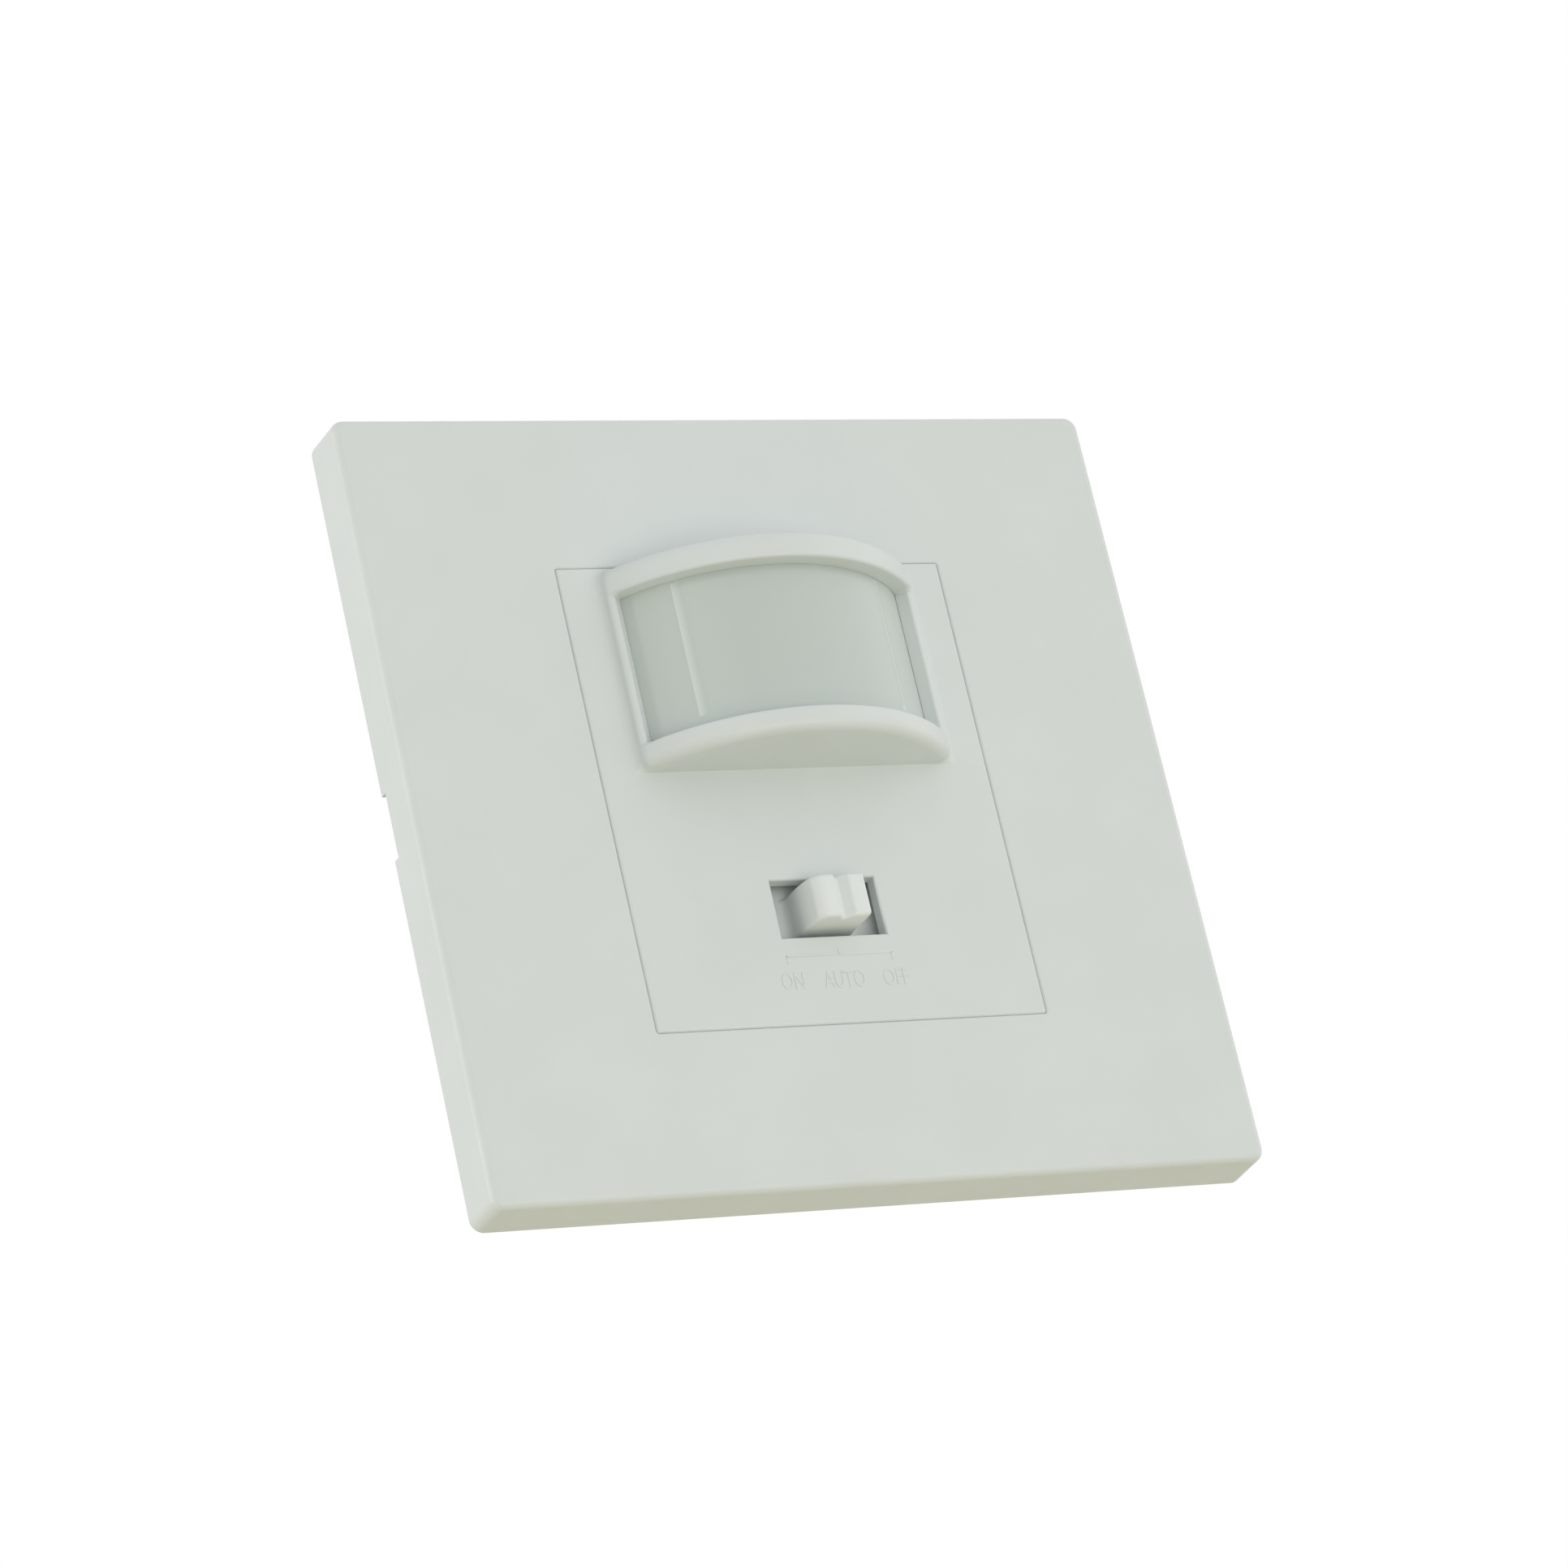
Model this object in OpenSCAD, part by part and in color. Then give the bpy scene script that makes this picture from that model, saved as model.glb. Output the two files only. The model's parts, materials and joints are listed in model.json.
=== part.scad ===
// Motion sensor light switch for a square wall box: a face plate around a panel with a
// barrel-shaped sensor hood and a three-position selector, and the works behind the wall.
// All sizes are in millimetres. X points right, Z points up, the front looks along -Y,
// and the plane Y = 0 is the surface of the wall.

/* [Face plate] */
// Width and height of the square face plate
plate_size = 86; // [80:0.5:100]
// How far the face plate stands out from the wall
plate_depth = 6.2; // [5.2:0.1:8]
// Thickness of the face plate's front
plate_skin = 1.5; // [1.2:0.1:1.8]
// Thickness of the face plate's side walls
plate_wall = 2; // [1.2:0.1:3]
// Radius of the face plate's corners
plate_corner = 2; // [1.4:0.1:5]
// Rounding of the face plate's front edge
plate_round = 0.9; // [0.3:0.1:1.2]
// Length of the notch for prying the face plate off
notch_length = 7; // [4:0.5:14]
// Height of the notch above the wall
notch_height = 1.1; // [0.6:0.1:2]

/* [Front panel] */
// Height of the panel in the middle of the face plate
panel_height = 51.4; // [46:0.1:56]
// Width of the panel beside the hood, on either side
panel_margin = 4.55; // [4:0.05:6]
// Height of the panel above the hood
panel_top_margin = 1; // [0.5:0.1:3]
// Thickness of the panel's front
panel_skin = 1.6; // [1.2:0.1:2]
// Gap between the panel and the face plate
panel_gap = 0.3; // [0.2:0.05:0.6]

/* [Sensor hood] */
// Width of the hood where it meets the panel
hood_width = 34.7; // [30:0.1:38]
// Height of the hood from its lower to its upper end
hood_height = 22.2; // [19:0.1:26]
// How far the hood's crest stands out from the panel
hood_rise = 10; // [8:0.1:12]
// How far the hood's sides stand out from the panel
hood_side = 1.5; // [1:0.1:2.5]
// Thickness of the hood's barrel wall
hood_wall = 1.9; // [1.4:0.1:2.3]
// Height of the band below the lens window
low_band = 2.5; // [2:0.1:4]
// Height of the band above the lens window
high_band = 3; // [2:0.1:4]
// Width of the rails beside the lens window
rail_width = 1.35; // [1.1:0.05:2]
// Rounding of the hood's ends
hood_round = 0.9; // [0.3:0.1:1.2]

/* [Lens] */
// Thickness of the lens sheet
lens_sheet = 1; // [0.6:0.1:1.3]

/* [Selector] */
// Width of the selector's slot in the panel
slot_width = 11.7; // [9.5:0.1:14]
// Height of the selector's slot in the panel
slot_height = 6.3; // [5.4:0.1:7.5]
// Level of the slot's middle above the panel's lower edge
slot_rise = 12.8; // [11.5:0.1:14]
// How far the knob stands out from the panel
knob_rise = 3.2; // [1.5:0.05:4]
// Width of the knob at its foot
knob_width = 6.2; // [5.4:0.1:7]
// Gap above and below the knob in its slot
knob_side_gap = 0.8; // [0.4:0.05:1]
// Width of the finger groove in the knob
groove_width = 1.7; // [1:0.1:2.4]

/* [Wall fixing] */
// Distance between the two screws of the wall box
screw_pitch = 60.3; // [58:0.1:64]
// Width of the slots for the wall box screws
screw_slot_width = 4.2; // [3.4:0.1:5]
// Length of the slots for the wall box screws
screw_slot_length = 8; // [6:0.5:10]
// Thickness of the mounting yoke
yoke_sheet = 1.5; // [1:0.1:1.8]

/* [Works] */
// How far the housing reaches past the panel on either side
housing_lap = 2.1; // [1.8:0.1:4]
// Wall thickness of the housing
housing_wall = 1.8; // [1.2:0.1:2.2]
// Thickness of both circuit boards
board_sheet = 1.6; // [1:0.1:2]
// Depth of the control board's front behind the wall surface
board_depth = 7; // [6:0.1:9]
// Clear space between the two circuit boards
board_space = 6; // [4.8:0.1:9]
// Height of the relay on the power board
relay_height = 12.6; // [10:0.1:16]

/* [Terminals] */
// Distance between neighbouring wire terminals
terminal_pitch = 7.5; // [7:0.1:8.5]
// Radius of each wire entry
wire_radius = 1.7; // [1.3:0.05:2]

/* [Hidden] */

// Curve fineness, the overshoot of a cut, and the clearances from close to wide
round_n = 64;
cut = 1;
running_gap = 0.05;
seat_gap = 0.1;
slip_gap = 0.35;

// Width of a screw's slot as a share of its head's radius
screw_slot_share = 0.35;

// Colours of the pieces
shell_white = [0.86, 0.87, 0.85];
lens_white = [0.78, 0.80, 0.77];
steel = [0.70, 0.71, 0.72];
board_green = [0.10, 0.36, 0.22];
moulded_black = [0.10, 0.10, 0.11];
relay_blue = [0.10, 0.28, 0.58];
capacitor_yellow = [0.80, 0.62, 0.16];
brass = [0.78, 0.60, 0.28];

// Panel and hood; the hood's barrel runs through its crest and through both its sides
panel_width = hood_width + 2 * panel_margin;
panel_back = plate_depth - panel_skin;
hood_top = panel_height / 2 - panel_top_margin;
hood_base = hood_top - hood_height;
hood_arch = hood_rise - hood_side;
hood_radius = (pow(hood_width / 2, 2) + pow(hood_arch, 2)) / (2 * hood_arch);
hood_axis = plate_depth + hood_rise - hood_radius;
hood_inner_radius = hood_radius - hood_wall;
hood_end_wall = 1.4;
hollow_low = hood_base + hood_end_wall;
hollow_high = hood_top - hood_end_wall;
window_width = hood_width - 2 * rail_width;
window_low = hood_base + low_band;
window_high = hood_top - high_band;
rail_round = rail_width / 2;
rail_x = window_width / 2 + rail_round;
rail_z = hood_axis + sqrt(pow(hood_radius - rail_round, 2) - rail_x * rail_x);

// Face plate and the friction posts that hold it to the yoke
plate_half = plate_size / 2;
plate_inner = plate_size - 2 * plate_wall;
plate_back = plate_depth - plate_skin;
opening_width = panel_width + 2 * panel_gap;
opening_height = panel_height + 2 * panel_gap;
post_radius = 1.5;
post_margin = 5;
post_place = plate_inner / 2 - post_margin;
post_relief = 0.2;

// Mounting yoke, which the panel's skirt stands on
skirt_wall = 1.4;
yoke_size = plate_inner - 2 * slip_gap;
yoke_corner = 1.5;
yoke_opening_width = panel_width - 2 * skirt_wall;
yoke_opening_height = panel_height - 2 * skirt_wall;

// Wire terminals, from the power board back: clamp, screw head, open end
pole_count = 3;
pole_width = terminal_pitch - seat_gap;
pole_length = 9.5;
clamp_cover = 0.9;
clamp_wall = 1;
clamp_width = 2 * (wire_radius + clamp_wall);
clamp_length = 5;
clamp_front_wall = 1.3;
clamp_back_wall = 1.7;
clamp_height = 2 * wire_radius + clamp_front_wall + clamp_back_wall;
clamp_floor = 1.8;
terminal_screw_radius = 1.45;
terminal_head_radius = 2.4;
terminal_head_height = 1.6;
terminal_head_lift = 2.4;
pole_rim = 0.7;
pole_height = clamp_cover + clamp_height + terminal_head_lift + terminal_head_height + pole_rim;
notch_half = pole_count * terminal_pitch / 2 + slip_gap;
notch_wall = 1.4;

// Housing, its corner columns and the screws through panel tabs and yoke
case_screw_radius = 1.3;
case_screw_length = 10;
case_head_radius = 2.4;
tab_sheet = 1;
tab_width = 8;
case_head_height = plate_back - yoke_sheet - tab_sheet - slip_gap;
column_radius = 2.8;
column_sink = 0.6;
case_screw_x = notch_half + notch_wall + column_radius + slip_gap;
case_screw_y = panel_height / 2 + case_head_radius + slip_gap;
housing_inner_width = panel_width + 2 * (housing_lap - housing_wall);
housing_inner_height = 2 * (case_screw_y + column_radius - column_sink);
housing_width = housing_inner_width + 2 * housing_wall;
housing_height = housing_inner_height + 2 * housing_wall;
housing_corner = 2;
housing_chamfer = 2.2;

// Control board on the panel's posts
board_front = -board_depth;
board_back = board_front - board_sheet;
board_width = yoke_opening_width - 2 * slip_gap;
board_top = yoke_opening_height / 2 - slip_gap;
board_low = -yoke_opening_height / 2;
tongue_width = 20;
tongue_low = -housing_inner_height / 2 + slip_gap;
small_screw_radius = 0.95;
small_head_radius = 1.8;
small_head_height = 1.2;
small_screw_grip = 5;
board_post_radius = 2.2;
board_post_margin = 3;
upper_post_drop = 6;
lower_post_rise = 3.3;
board_post_x = board_width / 2 - board_post_margin;
board_post_levels = [hood_base - upper_post_drop, board_low + lower_post_rise];

// Lens sheet with a foot along each side, and the frame that holds it in
frame_margin = 0.9;
frame_half = yoke_opening_width / 2 - frame_margin;
lens_radius = hood_inner_radius - seat_gap;
lens_low = hollow_low + seat_gap;
lens_high = hollow_high - seat_gap;
foot_back = panel_back - lens_sheet;
foot_reach = frame_half - slip_gap;
frame_sheet = 2.2;
frame_back = foot_back - frame_sheet;
frame_lap = 1.1;
frame_low = lens_low - frame_lap;
frame_high = yoke_opening_height / 2 - slip_gap;
frame_bar = 3.2;
frame_lip = 0.6;
leg_radius = 1.3;
leg_x = frame_half - leg_radius - slip_gap;

// Sensors behind the lens
sensor_y = (window_low + window_high) / 2;
spacer_height = 1;
can_base = board_front + spacer_height;
can_flange_radius = 4.65;
can_flange = 0.5;
can_radius = 4.15;
can_height = 4.2;
eye_width = 5;
eye_height = 3.8;
eye_sheet = 0.5;
sensor_lead_radius = 0.25;
sensor_lead_ring = 2.54;
sensor_lead_turns = [45, 135, 225];
cell_side_margin = 4.5;
cell_low_margin = 3;
cell_x = window_width / 2 - cell_side_margin;
cell_y = window_low + cell_low_margin;
cell_radius = 2.5;
cell_sheet = 1.8;
cell_lift = 2;
cell_lead_x = 1.7;

// Knob and slide switch
slot_y = slot_rise - panel_height / 2;
knob_length = slot_height - 2 * knob_side_gap;
knob_travel = (slot_width - knob_width) / 2 - slip_gap;
knob_tip = plate_depth + knob_rise;
flange_drop = 1.6;
flange_top = panel_back - flange_drop;
flange_sheet = 1.5;
flange_back = flange_top - flange_sheet;
flange_lap = 0.5;
flange_side_lap = 1;
flange_half_width = slot_width / 2 + knob_travel + flange_lap;
flange_half_height = slot_height / 2 + flange_side_lap;
knob_lean = 0.65;
ridge_chamfer = 0.35;
stem_width = 3;
stem_thick = 2.2;
stem_lift = 0.6;
stem_top = flange_top + stem_lift;
slider_width = 5;
slider_thick = 4.6;
slider_room = 0.7;
shell_sheet = 0.4;
shell_height = 5.6;
shell_half_width = slider_width / 2 + knob_travel + slider_room + shell_sheet + slip_gap;
shell_half_height = slider_thick / 2 + slider_room + shell_sheet;
shell_top = board_front + shell_height;
switch_base_sheet = 1;
slider_low = board_front + switch_base_sheet + slip_gap;
slider_high = shell_top - shell_sheet - slip_gap;

// Chip with its leads
chip_drop = 7.7;
chip_y = slot_y - chip_drop;
chip_width = 10;
chip_thick = 4;
chip_sheet = 1.6;
chip_lead_count = 8;
chip_lead_pitch = 1.27;
chip_lead_width = 0.42;
chip_lead_reach = 1;
chip_lead_height = 0.8;

// Trimmers behind the window in the yoke
trimmer_x = 6.5;
trimmer_half = 2.8;
trimmer_y = -housing_inner_height / 2 + trimmer_half + slip_gap;
rotor_radius = 1.9;
rotor_height = 1.8;
rotor_front = -0.7;
rotor_back = rotor_front - rotor_height;
trimmer_top = rotor_back - slip_gap;
trimmer_floor = 1;
spindle_radius = 1;
spindle_end = board_front + trimmer_floor + slip_gap;
driver_slot_width = 0.8;
driver_slot_depth = 0.7;
trimmer_window_margin = 1.4;
trimmer_window_half = trimmer_x + rotor_radius + trimmer_window_margin;
trimmer_window_low = trimmer_y - rotor_radius;
trimmer_window_high = -panel_height / 2 - slip_gap;

// Pin link between the boards
link_drop = 2.6;
link_y = board_top - link_drop;
link_count = 5;
link_pitch = 2.54;
link_pin = 0.64;
link_body = 2.5;

// Power board on the housing's posts
power_front = board_back - board_space;
power_back = power_front - board_sheet;
power_width = housing_inner_width - 4 * slip_gap;
power_top = case_screw_y - column_radius - slip_gap;
power_post_radius = 2.4;
power_post_margin = 3;
upper_power_drop = 4;
lower_power_rise = 5.6;
power_post_x = power_width / 2 - power_post_margin;
power_post_levels = [power_top - upper_power_drop, lower_power_rise - power_top];
power_screw_grip = 6;

// Parts on the back of the power board, in two rows
part_gap = 2;
row_high = power_post_levels[0] - power_post_radius - part_gap;
relay_width = 10.2;
relay_length = 18;
relay_foot = 1;
relay_margin = 4;
relay_left = relay_margin - power_width / 2;
relay_low = row_high - relay_length;
film_width = 8;
film_height = 12;
film_left = relay_left + relay_width + part_gap;
filter_radius = 4.2;
filter_height = 11.5;
filter_x = film_left + film_width + part_gap + filter_radius;
filter_y = row_high - filter_radius;
vent_groove = 0.6;
vent_turns = [0, 90];
lead_radius = 0.4;
fuse_radius = 4.1;
fuse_height = 8;
fuse_x = relay_left + relay_width / 2;
row_y = relay_low - part_gap - fuse_radius;
diode_count = 4;
diode_pitch = 4;
diode_length = 5.2;
diode_radius = 1.35;
diode_lead_length = 1.6;
diode_left = fuse_x + fuse_radius + part_gap + diode_radius;
varistor_radius = 4.6;
varistor_sheet = 3.4;
varistor_lead_height = 1.6;
varistor_lead_y = 2.5;
varistor_x = diode_left + diode_count * diode_pitch;
varistor_z = power_back - varistor_lead_height - varistor_radius;
parts_height = max(relay_height, film_height, filter_height, fuse_height,
  varistor_lead_height + 2 * varistor_radius, pole_height);
housing_floor = power_back - parts_height - slip_gap;
housing_end = housing_floor - housing_wall;

// Places of the wire terminals in the notch at the lower end of the housing
pole_low = -housing_height / 2;
pole_high = pole_low + pole_length;
pole_end = power_back - pole_height;
notch_top = pole_high + slip_gap;
notch_front = power_back - slip_gap;
clamp_y = pole_low + clamp_floor + clamp_length / 2;
clamp_front = power_back - clamp_cover;
clamp_end = clamp_front - clamp_height;
wire_z = clamp_front - clamp_front_wall - wire_radius;
terminal_head_z = clamp_end - terminal_head_lift;

// Turns a piece from the bench, where y is up and z points out of the wall, to the wall
module bench() {
  rotate([90, 0, 0]) children();
}

// A box from one corner to the opposite one
module block(low, high) {
  translate(low) cube(high - low);
}

// A round rod along z
module rod(x, y, low, high, radius) {
  translate([x, y, low]) cylinder(h = high - low, r = radius, $fn = round_n);
}

// A flat outline in x and z, drawn out along y
module along_y(low, high) {
  translate([0, high, 0]) rotate([90, 0, 0]) linear_extrude(height = high - low) children();
}

// A flat outline in y and z, drawn out along x
module along_x(low, high) {
  translate([low, 0, 0]) rotate([90, 0, 90]) linear_extrude(height = high - low) children();
}

// A rectangle with round corners about the middle
module soft_rectangle(width, height, radius) {
  square([width - 2 * radius, height], center = true);
  square([width, height - 2 * radius], center = true);
  for (side = [-1, 1], level = [-1, 1])
    translate([side * (width / 2 - radius), level * (height / 2 - radius)])
      circle(r = radius, $fn = round_n);
}

// Children at the four places that mirror one another
module four_corners(x, y) {
  for (side = [-1, 1], level = [-1, 1])
    translate([side * x, level * y, 0]) children();
}

// Children on both sides at each of a list of levels
module both_sides(x, levels) {
  for (level = levels, side = [-1, 1])
    translate([side * x, level, 0]) children();
}

// A screw along z with a slotted head, the head starting at z = 0 and rising
module slotted_screw(radius, length, head_radius, head_height) {
  half_slot = head_radius * screw_slot_share / 2;
  slot_floor = head_height / 2;
  difference() {
    union() {
      rod(0, 0, -length, slot_floor, radius);
      rod(0, 0, 0, head_height, head_radius);
    }
    block([-head_radius - cut, -half_slot, slot_floor],
      [head_radius + cut, half_slot, head_height + cut]);
  }
}

// Side view of the face plate: a slab with a rounded front edge on both sides
module plate_section() {
  flat = plate_half - plate_round;
  translate([-plate_half, 0]) square([plate_size, plate_depth - plate_round]);
  translate([-flat, 0]) square([2 * flat, plate_depth]);
  for (side = [-1, 1])
    translate([side * flat, plate_depth - plate_round]) circle(r = plate_round, $fn = round_n);
}

module face_plate() {
  color(shell_white) bench() {
    difference() {
      intersection() {
        linear_extrude(height = plate_depth) soft_rectangle(plate_size, plate_size, plate_corner);
        along_y(-plate_half, plate_half) plate_section();
        along_x(-plate_half, plate_half) plate_section();
      }
      block([-plate_inner / 2, -plate_inner / 2, -cut], [plate_inner / 2, plate_inner / 2, plate_back]);
      block([-opening_width / 2, -opening_height / 2, 0],
        [opening_width / 2, opening_height / 2, plate_depth + cut]);
      block([-plate_half - cut, -notch_length / 2, -cut],
        [-plate_inner / 2 + cut, notch_length / 2, notch_height]);
    }
    four_corners(post_place, post_place) rod(0, 0, post_relief, plate_back + plate_skin / 2, post_radius);
  }
}

// Disc of the hood's barrel in side view
module barrel(radius) {
  translate([0, hood_axis]) circle(r = radius, $fn = round_n);
}

// What is taken off the sharp edge of a rail beside the lens window
module rail_trim() {
  difference() {
    polygon([
      [rail_x, rail_z],
      [rail_x - rail_round - cut, rail_z],
      [rail_x - rail_round - cut, rail_z + hood_rise],
      [2 * rail_x, 2 * rail_z - hood_axis]
    ]);
    translate([rail_x, rail_z]) circle(r = rail_round, $fn = round_n);
  }
}

module hood_outside() {
  along_y(hood_base, hood_top)
    intersection() {
      barrel(hood_radius);
      translate([-hood_width / 2, panel_back]) square([hood_width, hood_rise + panel_skin + cut]);
    }
}

// What rounds the hood's upper end, above the panel's front
module end_trim() {
  intersection() {
    translate([0, hood_top, hood_axis]) rotate([-90, 0, 0]) rotate_extrude($fn = round_n) difference() {
      translate([hood_radius - hood_round, -hood_round]) square(hood_round + cut);
      translate([hood_radius - hood_round, -hood_round]) circle(r = hood_round, $fn = round_n);
    }
    block([-hood_width / 2 - cut, hood_base, plate_depth],
      [hood_width / 2 + cut, hood_top + 2 * cut, plate_depth + hood_rise + cut]);
  }
}

module hood_openings() {
  along_y(hollow_low, hollow_high)
    intersection() {
      barrel(hood_inner_radius);
      translate([-hood_radius, panel_back - cut]) square([2 * hood_radius, 2 * hood_radius]);
    }
  block([-window_width / 2, window_low, panel_back],
    [window_width / 2, window_high, plate_depth + hood_rise + cut]);
  for (side = [0, 1])
    mirror([side, 0, 0]) along_y(window_low, window_high) rail_trim();
  end_trim();
  translate([0, hood_top + hood_base, 0]) mirror([0, 1, 0]) end_trim();
}

module front_panel() {
  color(shell_white) bench() difference() {
    union() {
      block([-panel_width / 2, -panel_height / 2, panel_back],
        [panel_width / 2, panel_height / 2, plate_depth]);
      difference() {
        block([-panel_width / 2, -panel_height / 2, yoke_sheet],
          [panel_width / 2, panel_height / 2, plate_depth - panel_skin / 2]);
        block([-yoke_opening_width / 2, -yoke_opening_height / 2, 0],
          [yoke_opening_width / 2, yoke_opening_height / 2, panel_back]);
      }
      hood_outside();
      four_corners(case_screw_x, case_screw_y)
        translate([0, 0, yoke_sheet + tab_sheet / 2])
          cube([tab_width, 2 * (case_head_radius + slip_gap) + skirt_wall, tab_sheet], center = true);
      both_sides(board_post_x, board_post_levels)
        rod(0, 0, board_front, plate_depth - panel_skin / 2, board_post_radius);
    }
    hood_openings();
    block([-slot_width / 2, slot_y - slot_height / 2, flange_top],
      [slot_width / 2, slot_y + slot_height / 2, plate_depth + cut]);
    four_corners(case_screw_x, case_screw_y)
      rod(0, 0, 0, yoke_sheet + tab_sheet + cut, case_screw_radius + seat_gap);
    both_sides(board_post_x, board_post_levels)
      rod(0, 0, board_front - cut, board_front + small_screw_grip + cut, small_screw_radius + running_gap);
  }
}

module fresnel_lens() {
  color(lens_white) bench() along_y(lens_low, lens_high) difference() {
    union() {
      intersection() {
        barrel(lens_radius);
        translate([-lens_radius, foot_back]) square([2 * lens_radius, lens_radius]);
      }
      translate([-foot_reach, foot_back]) square([2 * foot_reach, lens_sheet]);
    }
    barrel(lens_radius - lens_sheet);
  }
}

module lens_frame() {
  color(moulded_black) bench() {
    difference() {
      block([-frame_half, frame_low, frame_back], [frame_half, frame_high, foot_back]);
      block([-frame_half + frame_bar, lens_low + frame_lip, frame_back - cut],
        [frame_half - frame_bar, lens_high - frame_lip, foot_back + cut]);
    }
    for (side = [-1, 1], level = [frame_low + leg_radius, frame_high - leg_radius])
      rod(side * leg_x, level, board_front, frame_back + frame_sheet / 2, leg_radius);
  }
}

// Side view of the knob: two ridges with a groove between, the left one leaning out to its foot
module knob_section() {
  ridge_left = -knob_width / 2 + knob_lean;
  ridge_right = knob_width / 2;
  middle = (ridge_left + ridge_right) / 2;
  difference() {
    polygon([
      [-knob_width / 2, flange_back + flange_sheet / 2],
      [ridge_right, flange_back + flange_sheet / 2],
      [ridge_right, knob_tip - ridge_chamfer],
      [ridge_right - ridge_chamfer, knob_tip],
      [ridge_left + ridge_chamfer, knob_tip],
      [ridge_left, knob_tip - ridge_chamfer],
      [-knob_width / 2, plate_depth]
    ]);
    translate([middle, knob_tip]) circle(r = groove_width / 2, $fn = round_n);
  }
}

module selector_knob() {
  color(shell_white) bench() difference() {
    union() {
      along_y(slot_y - knob_length / 2, slot_y + knob_length / 2) knob_section();
      block([-flange_half_width, slot_y - flange_half_height, flange_back],
        [flange_half_width, slot_y + flange_half_height, flange_top]);
    }
    block([-stem_width / 2 - running_gap, slot_y - stem_thick / 2 - running_gap, flange_back - cut],
      [stem_width / 2 + running_gap, slot_y + stem_thick / 2 + running_gap, stem_top + seat_gap]);
  }
}

module switch_stem() {
  color(moulded_black) bench() {
    block([-slider_width / 2, slot_y - slider_thick / 2, slider_low],
      [slider_width / 2, slot_y + slider_thick / 2, slider_high]);
    block([-stem_width / 2, slot_y - stem_thick / 2, slider_high - cut / 2],
      [stem_width / 2, slot_y + stem_thick / 2, stem_top]);
  }
}

module switch_shell() {
  reach = stem_width / 2 + knob_travel + slip_gap;
  color(steel) bench() difference() {
    block([-shell_half_width, slot_y - shell_half_height, board_front],
      [shell_half_width, slot_y + shell_half_height, shell_top]);
    block([-shell_half_width + shell_sheet, slot_y - shell_half_height + shell_sheet, board_front - cut],
      [shell_half_width - shell_sheet, slot_y + shell_half_height - shell_sheet, shell_top - shell_sheet]);
    block([-reach, slot_y - stem_thick / 2 - slip_gap, shell_top - cut],
      [reach, slot_y + stem_thick / 2 + slip_gap, shell_top + cut]);
  }
}

module switch_base() {
  half_width = shell_half_width - shell_sheet - seat_gap;
  half_height = shell_half_height - shell_sheet - seat_gap;
  color(moulded_black) bench()
    block([-half_width, slot_y - half_height, board_front],
      [half_width, slot_y + half_height, board_front + switch_base_sheet]);
}

module mounting_yoke() {
  slot_radius = screw_slot_width / 2;
  slot_reach = screw_slot_length / 2 - slot_radius;
  color(steel) bench() linear_extrude(height = yoke_sheet) difference() {
    soft_rectangle(yoke_size, yoke_size, yoke_corner);
    square([yoke_opening_width, yoke_opening_height], center = true);
    translate([-trimmer_window_half, trimmer_window_low])
      square([2 * trimmer_window_half, trimmer_window_high - trimmer_window_low]);
    for (side = [-1, 1])
      translate([side * screw_pitch / 2, 0]) {
        square([2 * slot_reach, screw_slot_width], center = true);
        for (end = [-1, 1])
          translate([end * slot_reach, 0]) circle(r = slot_radius, $fn = round_n);
      }
    for (side = [-1, 1], level = [-1, 1]) {
      translate([side * post_place, level * post_place])
        circle(r = post_radius + running_gap, $fn = round_n);
      translate([side * case_screw_x, level * case_screw_y])
        circle(r = case_screw_radius + seat_gap, $fn = round_n);
    }
  }
}

module case_screws() {
  color(steel) bench() four_corners(case_screw_x, case_screw_y) translate([0, 0, yoke_sheet + tab_sheet])
    slotted_screw(case_screw_radius, case_screw_length, case_head_radius, case_head_height);
}

module control_board() {
  color(board_green) bench() difference() {
    union() {
      block([-board_width / 2, board_low, board_back], [board_width / 2, board_top, board_front]);
      block([-tongue_width / 2, tongue_low, board_back], [tongue_width / 2, 0, board_front]);
    }
    both_sides(board_post_x, board_post_levels)
      rod(0, 0, board_back - cut, board_front + cut, small_screw_radius + seat_gap);
  }
}

module board_screws() {
  length = board_sheet + small_screw_grip;
  color(steel) bench() both_sides(board_post_x, board_post_levels)
    translate([0, 0, board_back]) mirror([0, 0, 1])
      slotted_screw(small_screw_radius, length, small_head_radius, small_head_height);
}

module pir_can() {
  color(steel) bench() difference() {
    union() {
      rod(0, sensor_y, can_base, can_base + can_flange, can_flange_radius);
      rod(0, sensor_y, can_base, can_base + can_height, can_radius);
    }
    translate([0, sensor_y, can_base + can_height])
      cube([eye_width, eye_height, 2 * eye_sheet], center = true);
  }
}

module pir_window() {
  color(moulded_black) bench() translate([0, sensor_y, can_base + can_height - eye_sheet / 2])
    cube([eye_width - seat_gap, eye_height - seat_gap, eye_sheet], center = true);
}

module pir_spacer() {
  color(moulded_black) bench() difference() {
    rod(0, sensor_y, board_front, can_base, can_flange_radius);
    pir_lead_places() rod(0, 0, board_front - cut, can_base + cut, sensor_lead_radius + running_gap);
  }
}

// The three leads under the sensor can, one free place on the ring
module pir_lead_places() {
  for (turn = sensor_lead_turns)
    translate([sensor_lead_ring * cos(turn), sensor_y + sensor_lead_ring * sin(turn), 0]) children();
}

module pir_leads() {
  color(brass) bench() pir_lead_places() rod(0, 0, board_front, can_base, sensor_lead_radius);
}

module light_cell() {
  color(capacitor_yellow) bench()
    rod(cell_x, cell_y, board_front + cell_lift, board_front + cell_lift + cell_sheet, cell_radius);
}

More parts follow.
